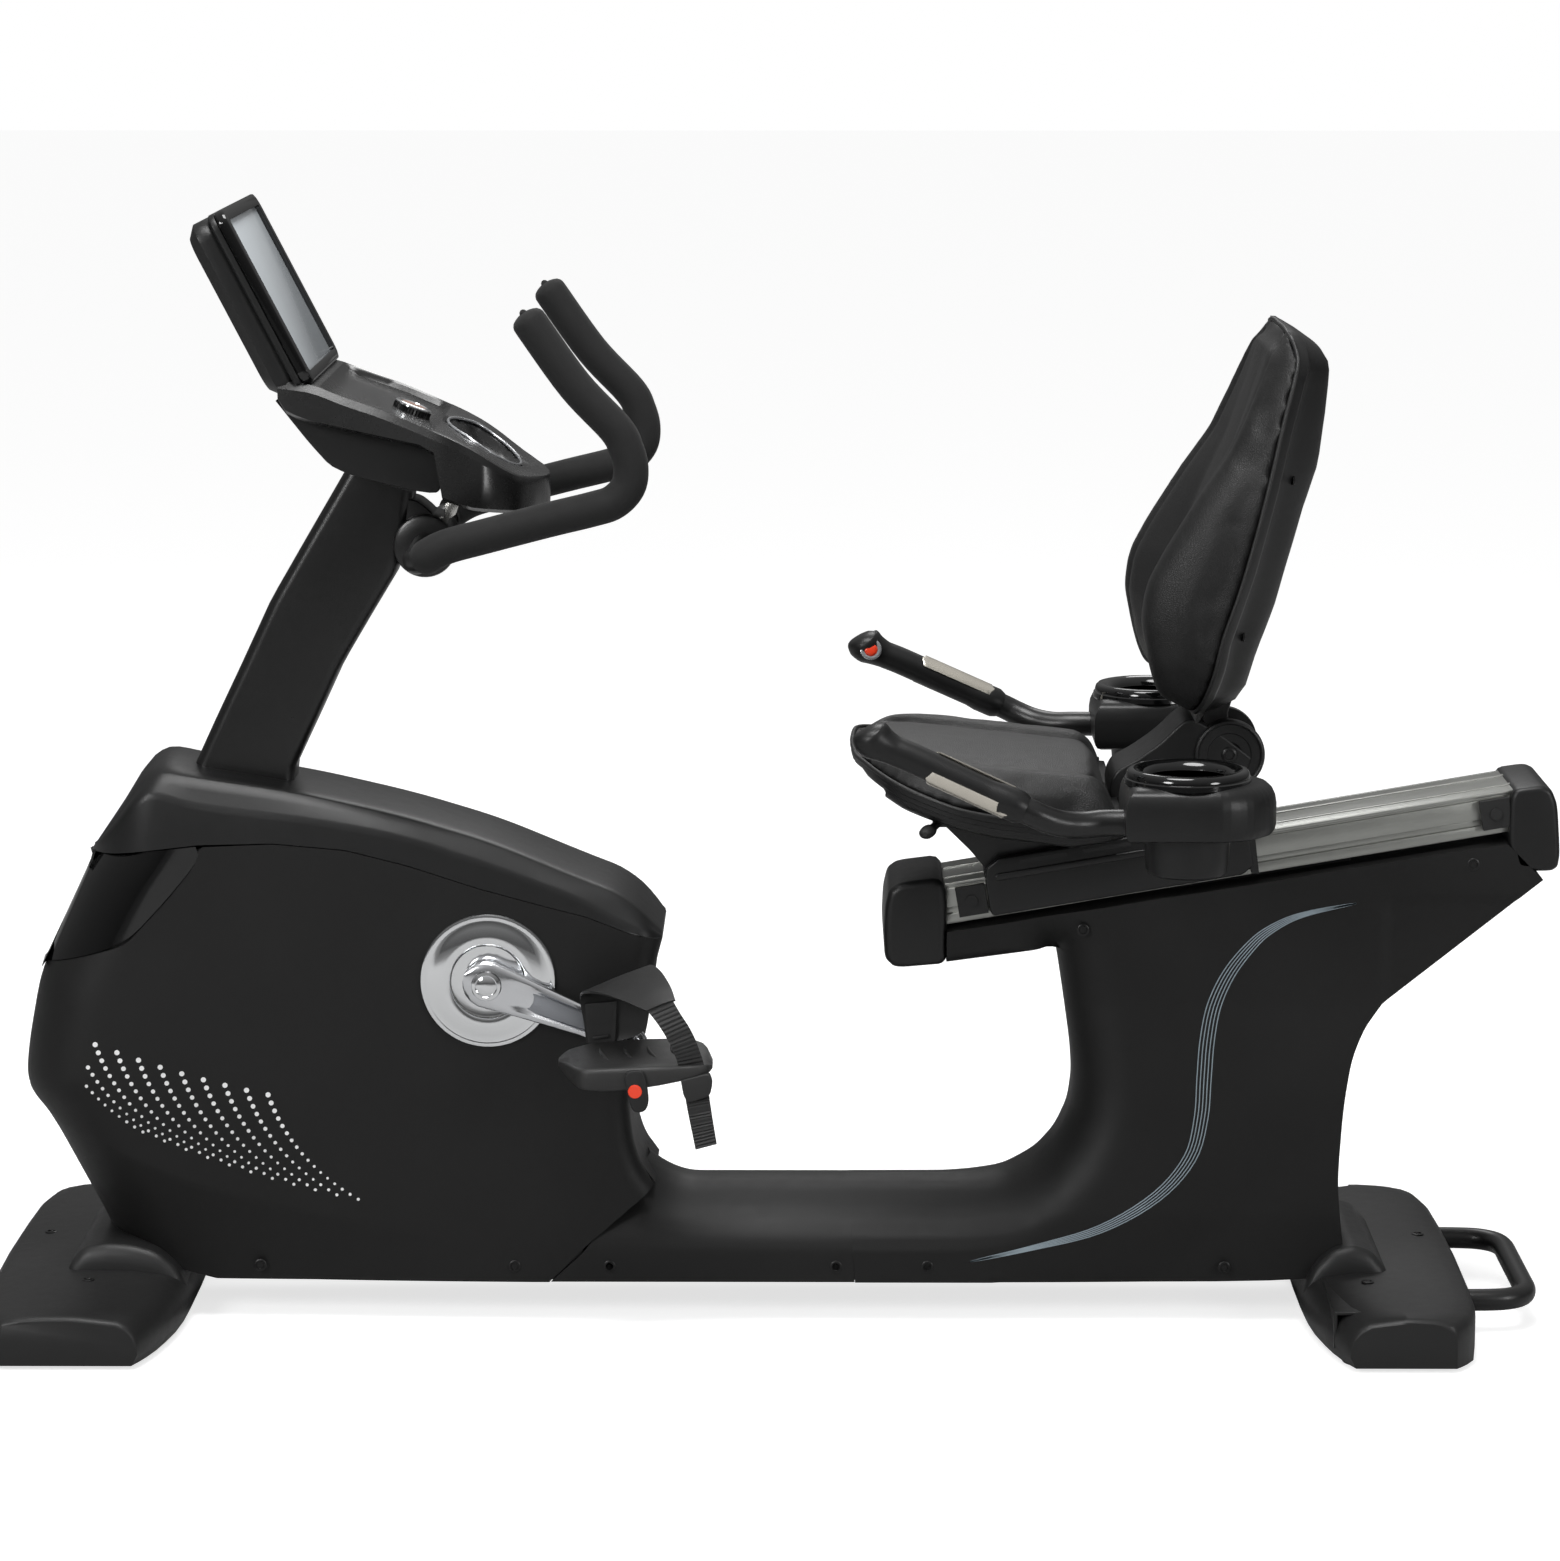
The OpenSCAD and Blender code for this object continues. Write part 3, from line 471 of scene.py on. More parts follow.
def new_group(name: str, inputs: dict[str, float], outputs: Sequence[str]) -> bpy.types.NodeTree:
    """Makes an empty shader node group with a vector input and named sockets.

    Args:
        name: Name of the group.
        inputs: Float inputs with their defaults.
        outputs: Float outputs.

    Returns:
        The node group.
    """
    tree = bpy.data.node_groups.new(name, "ShaderNodeTree")
    tree.interface.new_socket(name="Vector", in_out="INPUT", socket_type="NodeSocketVector")
    for key, value in inputs.items():
        tree.interface.new_socket(name=key, in_out="INPUT",
            socket_type="NodeSocketFloat").default_value = value
    for key in outputs:
        tree.interface.new_socket(name=key, in_out="OUTPUT", socket_type="NodeSocketFloat")
    tree.nodes.new("NodeGroupInput").name = "in"
    tree.nodes.new("NodeGroupOutput").name = "out"
    return tree


def node(tree: bpy.types.NodeTree, kind: str, **values: object) -> bpy.types.Node:
    """Adds a node and sets properties or input defaults by name."""
    made = tree.nodes.new(kind)
    for key, value in values.items():
        if hasattr(made, key):
            setattr(made, key, value)
        else:
            made.inputs[key.replace("_", " ")].default_value = value
    return made


def maths(tree: bpy.types.NodeTree, kind: str, first: object, second: object = 0.5) -> bpy.types.NodeSocket:
    """Adds a math node on two sockets or numbers and gives its result."""
    made = tree.nodes.new("ShaderNodeMath")
    made.operation = kind
    for socket, value in zip(made.inputs, (first, second)):
        if isinstance(value, bpy.types.NodeSocket):
            tree.links.new(value, socket)
        else:
            socket.default_value = value
    return made.outputs[0]


class Effects:
    """Shader node groups that the finishes share."""

    def __init__(self) -> None:
        """Builds every group once."""
        self.textures = {
            Texture.MOULDED: self._speckle("moulded_grain", 3.0, 0.62),
            Texture.FOAM: self._speckle("foam_cells", 8.0, 0.8),
            Texture.CAST: self._speckle("cast_skin", 2.0, 0.5),
            Texture.SMOOTH: self._speckle("orange_peel", 1.0, 0.4),
            Texture.LEATHER: self._leather(),
            Texture.BRUSHED: self._brushed(),
        }
        self.drift = self._drift()
        self.wear = self._wear()

    def _speckle(self, name: str, detail: float, rough: float) -> bpy.types.NodeTree:
        """Fine isotropic bumps from noise."""
        tree = new_group(name, {"Scale": 900.0}, ["Height"])
        noise = node(tree, "ShaderNodeTexNoise", Detail=detail, Roughness=rough)
        tree.links.new(tree.nodes["in"].outputs["Vector"], noise.inputs["Vector"])
        tree.links.new(tree.nodes["in"].outputs["Scale"], noise.inputs["Scale"])
        tree.links.new(noise.outputs["Fac"], tree.nodes["out"].inputs["Height"])
        return tree

    def _leather(self) -> bpy.types.NodeTree:
        """Pebbled leatherette: rounded cells parted by fine creases."""
        tree = new_group("leather_pebble", {"Scale": 420.0}, ["Height"])
        put = tree.nodes["in"].outputs
        bend = node(tree, "ShaderNodeTexNoise", Scale=60.0, Detail=2.0)
        tree.links.new(put["Vector"], bend.inputs["Vector"])
        shift = tree.nodes.new("ShaderNodeVectorMath")
        shift.operation = "MULTIPLY_ADD"
        shift.inputs[1].default_value = (0.004, 0.004, 0.004)
        tree.links.new(bend.outputs["Color"], shift.inputs[0])
        tree.links.new(put["Vector"], shift.inputs[2])
        cells = node(tree, "ShaderNodeTexVoronoi", feature="DISTANCE_TO_EDGE")
        tree.links.new(shift.outputs[0], cells.inputs["Vector"])
        tree.links.new(put["Scale"], cells.inputs["Scale"])
        level = node(tree, "ShaderNodeMapRange")
        level.inputs["From Max"].default_value = 0.22
        tree.links.new(cells.outputs["Distance"], level.inputs["Value"])
        fine = node(tree, "ShaderNodeTexNoise", Scale=1500.0, Detail=2.0)
        tree.links.new(put["Vector"], fine.inputs["Vector"])
        both = maths(tree, "ADD", level.outputs["Result"], maths(tree, "MULTIPLY", fine.outputs["Fac"],
            0.35))
        tree.links.new(both, tree.nodes["out"].inputs["Height"])
        return tree

    def _brushed(self) -> bpy.types.NodeTree:
        """Long fine lines along X."""
        tree = new_group("brushed_lines", {"Scale": 900.0}, ["Height"])
        stretch = node(tree, "ShaderNodeMapping")
        stretch.inputs["Scale"].default_value = (0.02, 1.0, 1.0)
        tree.links.new(tree.nodes["in"].outputs["Vector"], stretch.inputs["Vector"])
        noise = node(tree, "ShaderNodeTexNoise", Detail=3.0, Roughness=0.7)
        tree.links.new(stretch.outputs[0], noise.inputs["Vector"])
        tree.links.new(tree.nodes["in"].outputs["Scale"], noise.inputs["Scale"])
        tree.links.new(noise.outputs["Fac"], tree.nodes["out"].inputs["Height"])
        return tree

    def _drift(self) -> bpy.types.NodeTree:
        """Slow cloudy change over the surface, with a finer handling mark on top."""
        tree = new_group("surface_drift", {"Scale": 6.0}, ["Mask", "Marks"])
        put = tree.nodes["in"].outputs
        slow = node(tree, "ShaderNodeTexNoise", Detail=2.0)
        tree.links.new(put["Vector"], slow.inputs["Vector"])
        tree.links.new(put["Scale"], slow.inputs["Scale"])
        fast = node(tree, "ShaderNodeTexNoise", Scale=70.0, Detail=6.0, Roughness=0.7)
        tree.links.new(put["Vector"], fast.inputs["Vector"])
        tree.links.new(slow.outputs["Fac"], tree.nodes["out"].inputs["Mask"])
        tree.links.new(fast.outputs["Fac"], tree.nodes["out"].inputs["Marks"])
        return tree

    def _wear(self) -> bpy.types.NodeTree:
        """Slight rubbing along convex edges, broken up by noise."""
        tree = new_group("edge_rub", {"Amount": 0.5}, ["Mask"])
        shape = node(tree, "ShaderNodeNewGeometry")
        edge = node(tree, "ShaderNodeMapRange")
        edge.inputs["From Min"].default_value = 0.52
        edge.inputs["From Max"].default_value = 0.62
        tree.links.new(shape.outputs["Pointiness"], edge.inputs["Value"])
        noise = node(tree, "ShaderNodeTexNoise", Scale=45.0, Detail=5.0)
        tree.links.new(tree.nodes["in"].outputs["Vector"], noise.inputs["Vector"])
        broken = maths(tree, "MULTIPLY", edge.outputs["Result"], noise.outputs["Fac"])
        tree.links.new(maths(tree, "MULTIPLY", broken, tree.nodes["in"].outputs["Amount"]),
            tree.nodes["out"].inputs["Mask"])
        return tree


@dataclass(frozen=True)
class Finish:
    """One finish of the machine, and how it is shaded."""

    name: str
    color: tuple[float, float, float]
    rough: tuple[float, float]
    texture: Texture
    scale: float
    bump: float
    metallic: float = 0.0
    coat: float = 0.0
    coat_rough: float = 0.12
    vary: float = 0.12
    rub: float = 0.25
    sheen: float = 0.0
    specular: float = 0.5

    def build(self, effects: Effects) -> bpy.types.Material:
        """Builds the material.

        Args:
            effects: The shared node groups.

        Returns:
            The new material.
        """
        made = bpy.data.materials.new(self.name)
        made.use_nodes = True
        tree = made.node_tree
        shader = tree.nodes["Principled BSDF"]
        shader.inputs["Metallic"].default_value = self.metallic
        shader.inputs["Coat Weight"].default_value = self.coat
        shader.inputs["Coat Roughness"].default_value = self.coat_rough
        shader.inputs["Sheen Weight"].default_value = self.sheen
        shader.inputs["Specular IOR Level"].default_value = self.specular
        place = node(tree, "ShaderNodeTexCoord").outputs["Object"]
        drift = node(tree, "ShaderNodeGroup", node_tree=effects.drift)
        wear = node(tree, "ShaderNodeGroup", node_tree=effects.wear)
        grain = node(tree, "ShaderNodeGroup", node_tree=effects.textures[self.texture])
        grain.inputs["Scale"].default_value = self.scale
        wear.inputs["Amount"].default_value = self.rub
        for group in (drift, wear, grain):
            tree.links.new(place, group.inputs["Vector"])
        ramp = node(tree, "ShaderNodeValToRGB")
        dark = [c * (1 - self.vary) for c in self.color]
        light = [min(c * (1 + self.vary), 1.0) for c in self.color]
        ramp.color_ramp.elements[0].position, ramp.color_ramp.elements[1].position = 0.3, 0.7
        ramp.color_ramp.elements[0].color = (*dark, 1)
        ramp.color_ramp.elements[1].color = (*light, 1)
        tree.links.new(drift.outputs["Mask"], ramp.inputs["Fac"])
        rubbed = node(tree, "ShaderNodeMix", data_type="RGBA")
        rubbed.inputs[7].default_value = (*[min(c * 1.6 + 0.03, 1.0) for c in self.color], 1)
        tree.links.new(wear.outputs["Mask"], rubbed.inputs[0])
        tree.links.new(ramp.outputs["Color"], rubbed.inputs[6])
        tree.links.new(rubbed.outputs[2], shader.inputs["Base Color"])
        blend = maths(tree, "MULTIPLY_ADD", drift.outputs["Marks"], 0.6)
        tree.links.new(maths(tree, "MULTIPLY", drift.outputs["Mask"], 0.4), blend.node.inputs[2])
        level = node(tree, "ShaderNodeMapRange")
        level.inputs["From Min"].default_value, level.inputs["From Max"].default_value = 0.3, 0.7
        level.inputs["To Min"].default_value, level.inputs["To Max"].default_value = self.rough
        tree.links.new(blend, level.inputs["Value"])
        tree.links.new(level.outputs["Result"], shader.inputs["Roughness"])
        lumps = node(tree, "ShaderNodeBump", Strength=min(self.bump, 1.0), Distance=0.0004)
        tree.links.new(grain.outputs["Height"], lumps.inputs["Height"])
        tree.links.new(lumps.outputs["Normal"], shader.inputs["Normal"])
        return made


def grey(level: float, warm: float = 0.0) -> tuple[float, float, float]:
    """Gives a near-neutral grey, slightly warm or cool."""
    return (level * (1 + warm), level, level * (1 - warm))


FINISHES = {
    "cover": Finish("matte_black_moulding", grey(0.0065, 0.01), (0.46, 0.56), Texture.MOULDED, 1500, 0.35,
        rub=0.04, specular=0.32),
    "satin": Finish("satin_black_moulding", grey(0.0065, -0.01), (0.34, 0.42), Texture.MOULDED, 1300, 0.22,
        rub=0.08, specular=0.42),
    "window": Finish("polished_black", grey(0.002, -0.03), (0.06, 0.11), Texture.SMOOTH, 30, 0.05, coat=0.3,
        rub=0.0),
    "foot": Finish("foot_moulding", grey(0.0125), (0.38, 0.48), Texture.MOULDED, 1400, 0.3, rub=0.1,
        specular=0.4),
    "paint": Finish("powder_coat", grey(0.006), (0.3, 0.4), Texture.SMOOTH, 500, 0.25),
    "mast": Finish("satin_mast_paint", grey(0.0055), (0.27, 0.34), Texture.SMOOTH, 600, 0.18, coat=0.05,
        rub=0.05),
    "foam": Finish("cell_foam", grey(0.011), (0.72, 0.85), Texture.FOAM, 1600, 0.9, rub=0.0, sheen=0.08,
        specular=0.3),
    "rubber": Finish("black_rubber", grey(0.006), (0.6, 0.72), Texture.MOULDED, 1100, 0.4),
    "strap": Finish("strap_rubber", grey(0.013), (0.48, 0.6), Texture.MOULDED, 1300, 0.3),
    "pedal": Finish("pedal_moulding", grey(0.018, 0.01), (0.45, 0.58), Texture.MOULDED, 1200, 0.4, rub=0.3),
    "rail": Finish("drawn_aluminium", (0.34, 0.345, 0.325), (0.28, 0.36), Texture.BRUSHED, 1200, 0.25,
        metallic=0.85, vary=0.05),
    "chrome": Finish("polished_chrome", (0.86, 0.87, 0.88), (0.05, 0.10), Texture.SMOOTH, 60, 0.02,
        metallic=1.0, vary=0.03),
    "arm": Finish("polished_casting", (0.74, 0.75, 0.77), (0.14, 0.24), Texture.CAST, 260, 0.18,
        metallic=1.0, vary=0.06),
    "arm_web": Finish("cast_web", (0.27, 0.28, 0.30), (0.36, 0.5), Texture.CAST, 700, 0.7, metallic=0.9,
        vary=0.15),
    "steel": Finish("brushed_steel", (0.66, 0.65, 0.62), (0.22, 0.32), Texture.BRUSHED, 1200, 0.25,
        metallic=0.95, vary=0.06),
    "sensor": Finish("sensor_plate", (0.70, 0.66, 0.58), (0.2, 0.3), Texture.BRUSHED, 900, 0.15,
        metallic=0.8, vary=0.08),
    "leather": Finish("black_leatherette", grey(0.0075), (0.42, 0.52), Texture.LEATHER, 430, 0.42, rub=0.05,
        sheen=0.02, specular=0.38),
    "piping": Finish("piping_leatherette", grey(0.006), (0.4, 0.5), Texture.LEATHER, 700, 0.3),
    "screen": Finish("screen_panel", (0.62, 0.66, 0.69), (0.1, 0.16), Texture.SMOOTH, 90, 0.02, vary=0.02,
        rub=0.0, coat=0.4),
    "key": Finish("grey_key", grey(0.20, -0.01), (0.3, 0.4), Texture.MOULDED, 1300, 0.15, rub=0.2),
    "deck": Finish("semi_gloss_deck", grey(0.004), (0.22, 0.30), Texture.SMOOTH, 300, 0.1, coat=0.1),
    "silver": Finish("silver_trim", (0.60, 0.61, 0.63), (0.2, 0.3), Texture.CAST, 700, 0.1, metallic=0.9,
        vary=0.05),
    "copper": Finish("dial_cap", (0.46, 0.27, 0.20), (0.26, 0.36), Texture.BRUSHED, 900, 0.15,
        metallic=0.75, vary=0.06),
    "red": Finish("orange_red_gloss", (0.86, 0.05, 0.012), (0.2, 0.3), Texture.SMOOTH, 200, 0.05, coat=0.4,
        rub=0.1),
    "iron": Finish("turned_iron", (0.30, 0.30, 0.31), (0.35, 0.45), Texture.BRUSHED, 700, 0.3,
        metallic=0.9),
    "belt": Finish("belt_rubber", grey(0.005), (0.5, 0.6), Texture.MOULDED, 900, 0.3),
    "screw": Finish("black_screw", grey(0.006), (0.3, 0.42), Texture.CAST, 500, 0.2, metallic=0.3),
    "mark": Finish("printed_mark", grey(0.8), (0.4, 0.5), Texture.SMOOTH, 300, 0.05, rub=0.0),
    "line": Finish("printed_line", (0.27, 0.33, 0.37), (0.35, 0.45), Texture.SMOOTH, 300, 0.05, rub=0.0),
    # Flat black for painted shade: the housing liner, the carriage slots and the console vents are dark
    # pieces standing for shade in openings and inside the housing; the carriage wiper is real black rubber.
    "dark": Finish("wiper_black_and_painted_shade", grey(0.006), (0.6, 0.7), Texture.MOULDED, 900, 0.2, rub=0.0),
}


class Paintbox:
    """Holds one material for each finish and dresses pieces with them."""

    def __init__(self) -> None:
        """Builds the shared effects; each material is made when first used."""
        self.effects = Effects()
        self.made: dict[str, bpy.types.Material] = {}

    def get(self, key: str) -> bpy.types.Material:
        """Gives the material of a finish."""
        if key not in self.made:
            self.made[key] = FINISHES[key].build(self.effects)
        return self.made[key]

    def dress(
        self, obj: bpy.types.Object, key: str, body: str, stands_for: Sequence[str] = (), slot: str = "",
    ) -> bpy.types.Object:
        """Gives a new piece its finish and body, and hides the CAD nodes it replaces.

        Args:
            obj: The piece.
            key: Finish name.
            body: Body it rides on.
            stands_for: CAD nodes it replaces.
            slot: Record material slot; not used.

        Returns:
            The same object.
        """
        obj.data.materials.clear()
        obj.data.materials.append(self.get(key))
        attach(obj, body)
        if stands_for:
            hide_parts(*stands_for)
        LOG.info("piece %s rides on %s", obj.name, body)
        return obj

    def carry(self, frame: dict, name: str, key: str, edge: float = 0.0) -> None:
        """Keeps a CAD node, rounding its edges and giving it a finish.

        Args:
            frame: The loaded frame.
            name: Node name.
            key: Finish name.
            edge: Bevel width in millimetres, or zero for none.
        """
        obj = frame["nodes"][name]
        obj.data.materials.clear()
        obj.data.materials.append(self.get(key))
        if edge:
            weld = obj.modifiers.new("Weld", "WELD")
            weld.merge_threshold = 0.00001
            soft = obj.modifiers.new("Edges", "BEVEL")
            soft.width = edge * MM
            soft.segments = 2
            soft.limit_method = "ANGLE"
            soft.angle_limit = math.radians(32)
            soft.harden_normals = True
        LOG.info("node %s carried over", name)


# ---------------------------------------------------------------- the machine


@dataclass
class Assembly:
    """Base of every sub-assembly: the frame it is built round and its paintbox."""

    frame: dict
    paint: Paintbox


SHROUD_FRONT = rounded([
    (-728, 66), (-744, 104), (-759, 134), (-797, 213), (-820, 242), (-825, 264), (-821, 300),
    (-809, 363), (-800, 390), (-742, 514), (-705, 572), (-682, 608), (-664, 619),
])
SHROUD_REAR = rounded([
    (-128, 152), (-143, 172), (-152, 200), (-157, 246), (-150, 283), (-137, 321), (-129, 375),
    (-126, 400), (-119, 426),
])
CREASE = [
    (-797, 213), (-746, 213), (-728, 198), (-639, 157), (-551, 133), (-440, 109), (-357, 95), (-200, 88),
]
PARTING = [
    (-742, 514), (-680, 524), (-620, 531), (-540, 533), (-461, 526), (-394, 509), (-321, 485),
    (-249, 465), (-202, 453), (-153, 434), (-119, 426),
]
WINDOW_LOW = [(-800, 389), (-701, 421), (-655, 470), (-624, 508), (-619, 520)]


@dataclass
class DriveHousing(Assembly):
    """The moulded housing round the flywheel and the crank."""

    half: float = COVER_HALF
    nose: float = 80.0
    roll: float = 24.0
    skin: float = 3.0

    def half_width(self, x: float, z: float) -> float:
        """Half the housing's width at a place on its side, with nose, rear roll and tuck."""
        width = self.half * dome(away(SHROUD_FRONT, x, z), self.nose)
        near_rear = away(SHROUD_REAR, x, z)
        width = min(width, self.half - self.roll * (1 - dome(near_rear, self.roll)))
        under = across(CREASE, x) - z
        if under > 0 and x < -260:
            width -= 0.13 * under * min((-260 - x) / 240, 1.0)
        return max(width, 0.0)

    def side_rows(self, net: list[list[Flat]]) -> list[list[Point]]:
        """Puts a flat net on the housing's left side."""
        return [[(x, -self.half_width(x, z), z) for x, z in row] for row in net]

    def side(self) -> bpy.types.Object:
        """Builds the left cover: the tucked lower band, the panel and the rear wall."""
        low = [(-728, 66), (-660, 58), (-610, 45), (-244, 45)]
        top = WINDOW_LOW[:-1] + [(-621, 529)] + [(x, z - 0.7) for x, z in PARTING[3:]]
        lower = coons(low, CREASE, rounded([(-728, 66), (-744, 104), (-759, 134), (-797, 213)]),
                      [(-244, 45), (-201, 88)], 74, 16, self.crowd)
        upper = coons(CREASE, top, rounded([(-797, 213), (-820, 242), (-825, 264), (-821, 300), (-809, 363),
            (-800, 389)]),
                      [(-201, 88), (-129, 151)] + SHROUD_REAR[1:], 74, 60, self.crowd)
        rows = self.side_rows(lower[:-1]) + self.side_rows(upper)
        panel = lay_grid("side_panel", rows)
        back = [
            [(x, -(self.half - self.roll) * (1 - k / 5), z) for x, z in resample(SHROUD_REAR, 40)]
            for k in range(6)
        ]
        rear = lay_grid("side_rear", back)
        obj = join("left_side_shell", [panel, rear])
        tidy_mesh(obj, 0.6)
        wall(self.facing(obj), self.skin)
        return smooth(obj, 34)

    @staticmethod
    def crowd(share: float) -> float:
        """Crowds net columns at the nose and the rear roll."""
        if share < 0.2:
            return 0.16 * (1 - math.cos(math.pi * share / 0.4))
        if share > 0.86:
            return 0.93 + 0.07 * math.sin(math.pi * (share - 0.86) / 0.28)
        return 0.16 + 0.77 * (share - 0.2) / 0.66

    @staticmethod
    def facing(obj: bpy.types.Object) -> bpy.types.Object:
        """Turns a left-hand shell's faces away from the machine's middle plane."""
        total = sum(p.normal.y * p.area for p in obj.data.polygons)
        if total > 0:
            obj.data.flip_normals()
        return obj

    def window(self) -> bpy.types.Object:
        """Builds the polished band that wraps the front."""
        low = [(x, z + 1.2) for x, z in WINDOW_LOW]
        high = [(-743, 512), (-680, 523), (-622, 530)]
        net = coons(rounded(low), high, [(-801, 390), (-743, 512)], [(-619, 521), (-622, 530)], 44, 22,
            lambda s: s ** 1.6)
        rows = [[(x - 0.4, -self.half_width(x, z) - 0.3, z) for x, z in row] for row in net]
        for row in rows:
            row[0] = (row[0][0], 0.0, row[0][2])
        left = self.facing(lay_grid("window_left", rows))
        right = mirrored(left, "window_right")
        obj = join("front_window_band", [left, right])
        tidy_mesh(obj, 0.4)
        if sum(p.normal.x * p.area for p in obj.data.polygons) > 0:
            obj.data.flip_normals()
        wall(obj, self.skin)
        return smooth(obj, 50)

    def top(self) -> bpy.types.Object:
        """Builds the top cover with its broad chamfer, station by station along X."""
        crown = rounded([
            (-745, 515), (-705, 573), (-684, 608), (-664, 621), (-627, 609), (-513, 590), (-400, 564),
            (-304, 535), (-208, 495), (-169, 479), (-145, 463), (-119, 431),
        ], 5)
        edge = rounded([
            (-745, 514), (-705, 566), (-680, 598), (-661, 609), (-627, 603), (-513, 586), (-400, 560),
            (-304, 531), (-208, 491), (-169, 476), (-145, 459), (-119, 429),
        ], 5)
        chamfer = rounded([
            (-745, 514), (-712, 548), (-690, 578), (-670, 592), (-621, 577), (-496, 562), (-399, 544),
            (-304, 512), (-208, 476), (-173, 455), (-140, 440), (-119, 427),
        ], 5)
        stations = [-745 + 80 * (1 - math.cos(math.pi * k / 32)) for k in range(16)]
        stations += [-665 + k * (545 / 66) for k in range(67)]
        rows = []
        for x in stations:
            width = max(dome(x + 746, 74), 0.03)
            part = across([(-745, 514)] + PARTING[1:], x) + 0.7
            if x > -300:
                width = min(width, self.half_width(x, part) / COVER_HALF)
            z0, z1, z2 = across(crown, x), across(edge, x), across(chamfer, x)
            z2 = max(z2, part)
            half = [
                (0, z0), (30, z0 - 0.3), (55, (2 * z0 + z1) / 3), (70, (z0 + 2 * z1) / 3 + 0.6),
                (76.5, z1 + 0.5),
                (79, z1 - 1.0), (86, (z1 + z2) / 2), (92, z2 + 1.0), (94.2, z2 - 2.5), (95.8, z2 - 9),
                (COVER_HALF, part),
            ]
            half = [(y * width, max(z, part)) for y, z in half]
            rows.append([(x, -y, z) for y, z in reversed(half)] + [(x, y, z) for y, z in half[1:]])
        obj = lay_grid("top_shell", rows)
        tidy_mesh(obj, 0.3)
        if sum(p.normal.z * p.area for p in obj.data.polygons) < 0:
            obj.data.flip_normals()
        wall(obj, self.skin)
        return smooth(obj, 30)

    def liner(self) -> bpy.types.Object:
        """Builds a dark skin inside the covers, painted shade standing for the shaded inside of the
        housing, so that nothing shows through their seams.
        """
        low = [(-728, 66), (-660, 58), (-610, 47), (-244, 47)]
        nose = rounded([(-728, 66), (-744, 104), (-797, 213), (-820, 242), (-825, 264), (-800, 390),
            (-742, 514)])
        net = coons(low, PARTING, nose, [(-244, 47), (-129, 151)] + SHROUD_REAR[1:], 60, 40, self.crowd)
        rows = []
        for row in net:
            line = []
            for x, z in row:
                x2, z2 = -450 + (x + 450) * 0.986, 290 + (z - 290) * 0.986
                line.append((x2, -max(self.half_width(x2, z2) - 4.5, 0.0), z2))
            rows.append(line)
        left = self.facing(lay_grid("liner_left", rows))
        right = mirrored(left, "liner_right")
        plugs = []
        for outline, half in (
            ([(-262, 47), (-226, 47), (-188, 80), (-225, 80)], 93),
            ([(-225, 80), (-188, 80), (-150, 118), (-186, 118)], 62),
            ([(-186, 118), (-150, 118), (-132, 138), (-164, 138)], 24),
            ([(76, 47), (100, 47), (98, 78), (75, 78)], 93), ([(75, 78), (98, 78), (96, 118), (74, 118)],
                62),
            ([(74, 118), (96, 118), (95, 139), (73, 139)], 22),
        ):
            plugs.append(slab("plug", outline, -half, half))
        return join("housing_shade_liner", [left, right] + plugs)

    def dots(self) -> bpy.types.Object:
        """Lays a fan of printed dots on both side covers, growing smaller downwards."""
        parts = []
        for side in (LEFT, RIGHT):
            for column in range(-2, 9):
                for t in range(max(-4 * column, 0), 17):
                    x = -736 + 23.4 * column + 3.0 * t + 0.19 * t * t
                    z = 311 - 9.2 * column + 0.28 * column * column - 9.2 * t + 0.118 * t * t
                    size = max(2.9 - 0.13 * t, 1.45) if t < 14 else 1.7
                    out = self.half_width(x, z) + 0.35
                    ring = [(x + size * math.cos(math.pi * k / 5), side * out,
                        z + size * math.sin(math.pi * k / 5)) for k in range(10)]
                    back = [(px, side * (out - 0.6), pz) for px, _, pz in ring]
                    parts.append((ring, back))
        return self.prints("cover_dots", parts)

    @staticmethod
    def prints(name: str, parts: Sequence[tuple[Sequence[Point], Sequence[Point]]]) -> bpy.types.Object:
        """Makes many thin raised marks, each from an outer and an inner ring, as one mesh.

        Args:
            name: Name of the piece.
            parts: Outer and inner ring of each mark.

        Returns:
            The new object.
        """
        mesh = bpy.data.meshes.new(name)
        points: list[Point] = []
        faces: list[list[int]] = []
        for ring, back in parts:
            base, count = len(points), len(ring)
            points += list(ring) + list(back)
            faces.append(list(range(base, base + count)))
            faces.append(list(range(base + 2 * count - 1, base + count - 1, -1)))
            faces += [[base + k, base + count + k, base + count + (k + 1) % count, base + (k + 1) % count]
                for k in range(count)]
        mesh.from_pydata([tuple(c * MM for c in p) for p in points], [], faces)
        obj = bpy.data.objects.new(name, mesh)
        bpy.context.collection.objects.link(obj)
        return tidy_mesh(obj, 0.0)

    def build(self) -> None:
        """Builds the housing and its printed marks."""
        # The liner is painted shade: a dark sheet for the shaded inside of the housing.
        self.paint.dress(self.liner(), "dark", "frame", slot="gloss_black")
        self.paint.dress(self.dots(), "mark", "frame", slot="sensor_steel")
        left = self.side()
        right = mirrored(left, "right_side_shell")
        self.paint.dress(left, "cover", "frame", ["left_side_cover"], "cover_plastic")
        self.paint.dress(right, "cover", "frame", ["right_side_cover"], "cover_plastic")
        self.paint.dress(self.window(), "window", "frame", ["front_window"], "gloss_black")
        self.paint.dress(self.top(), "satin", "frame", ["top_cover"], "top_plastic")


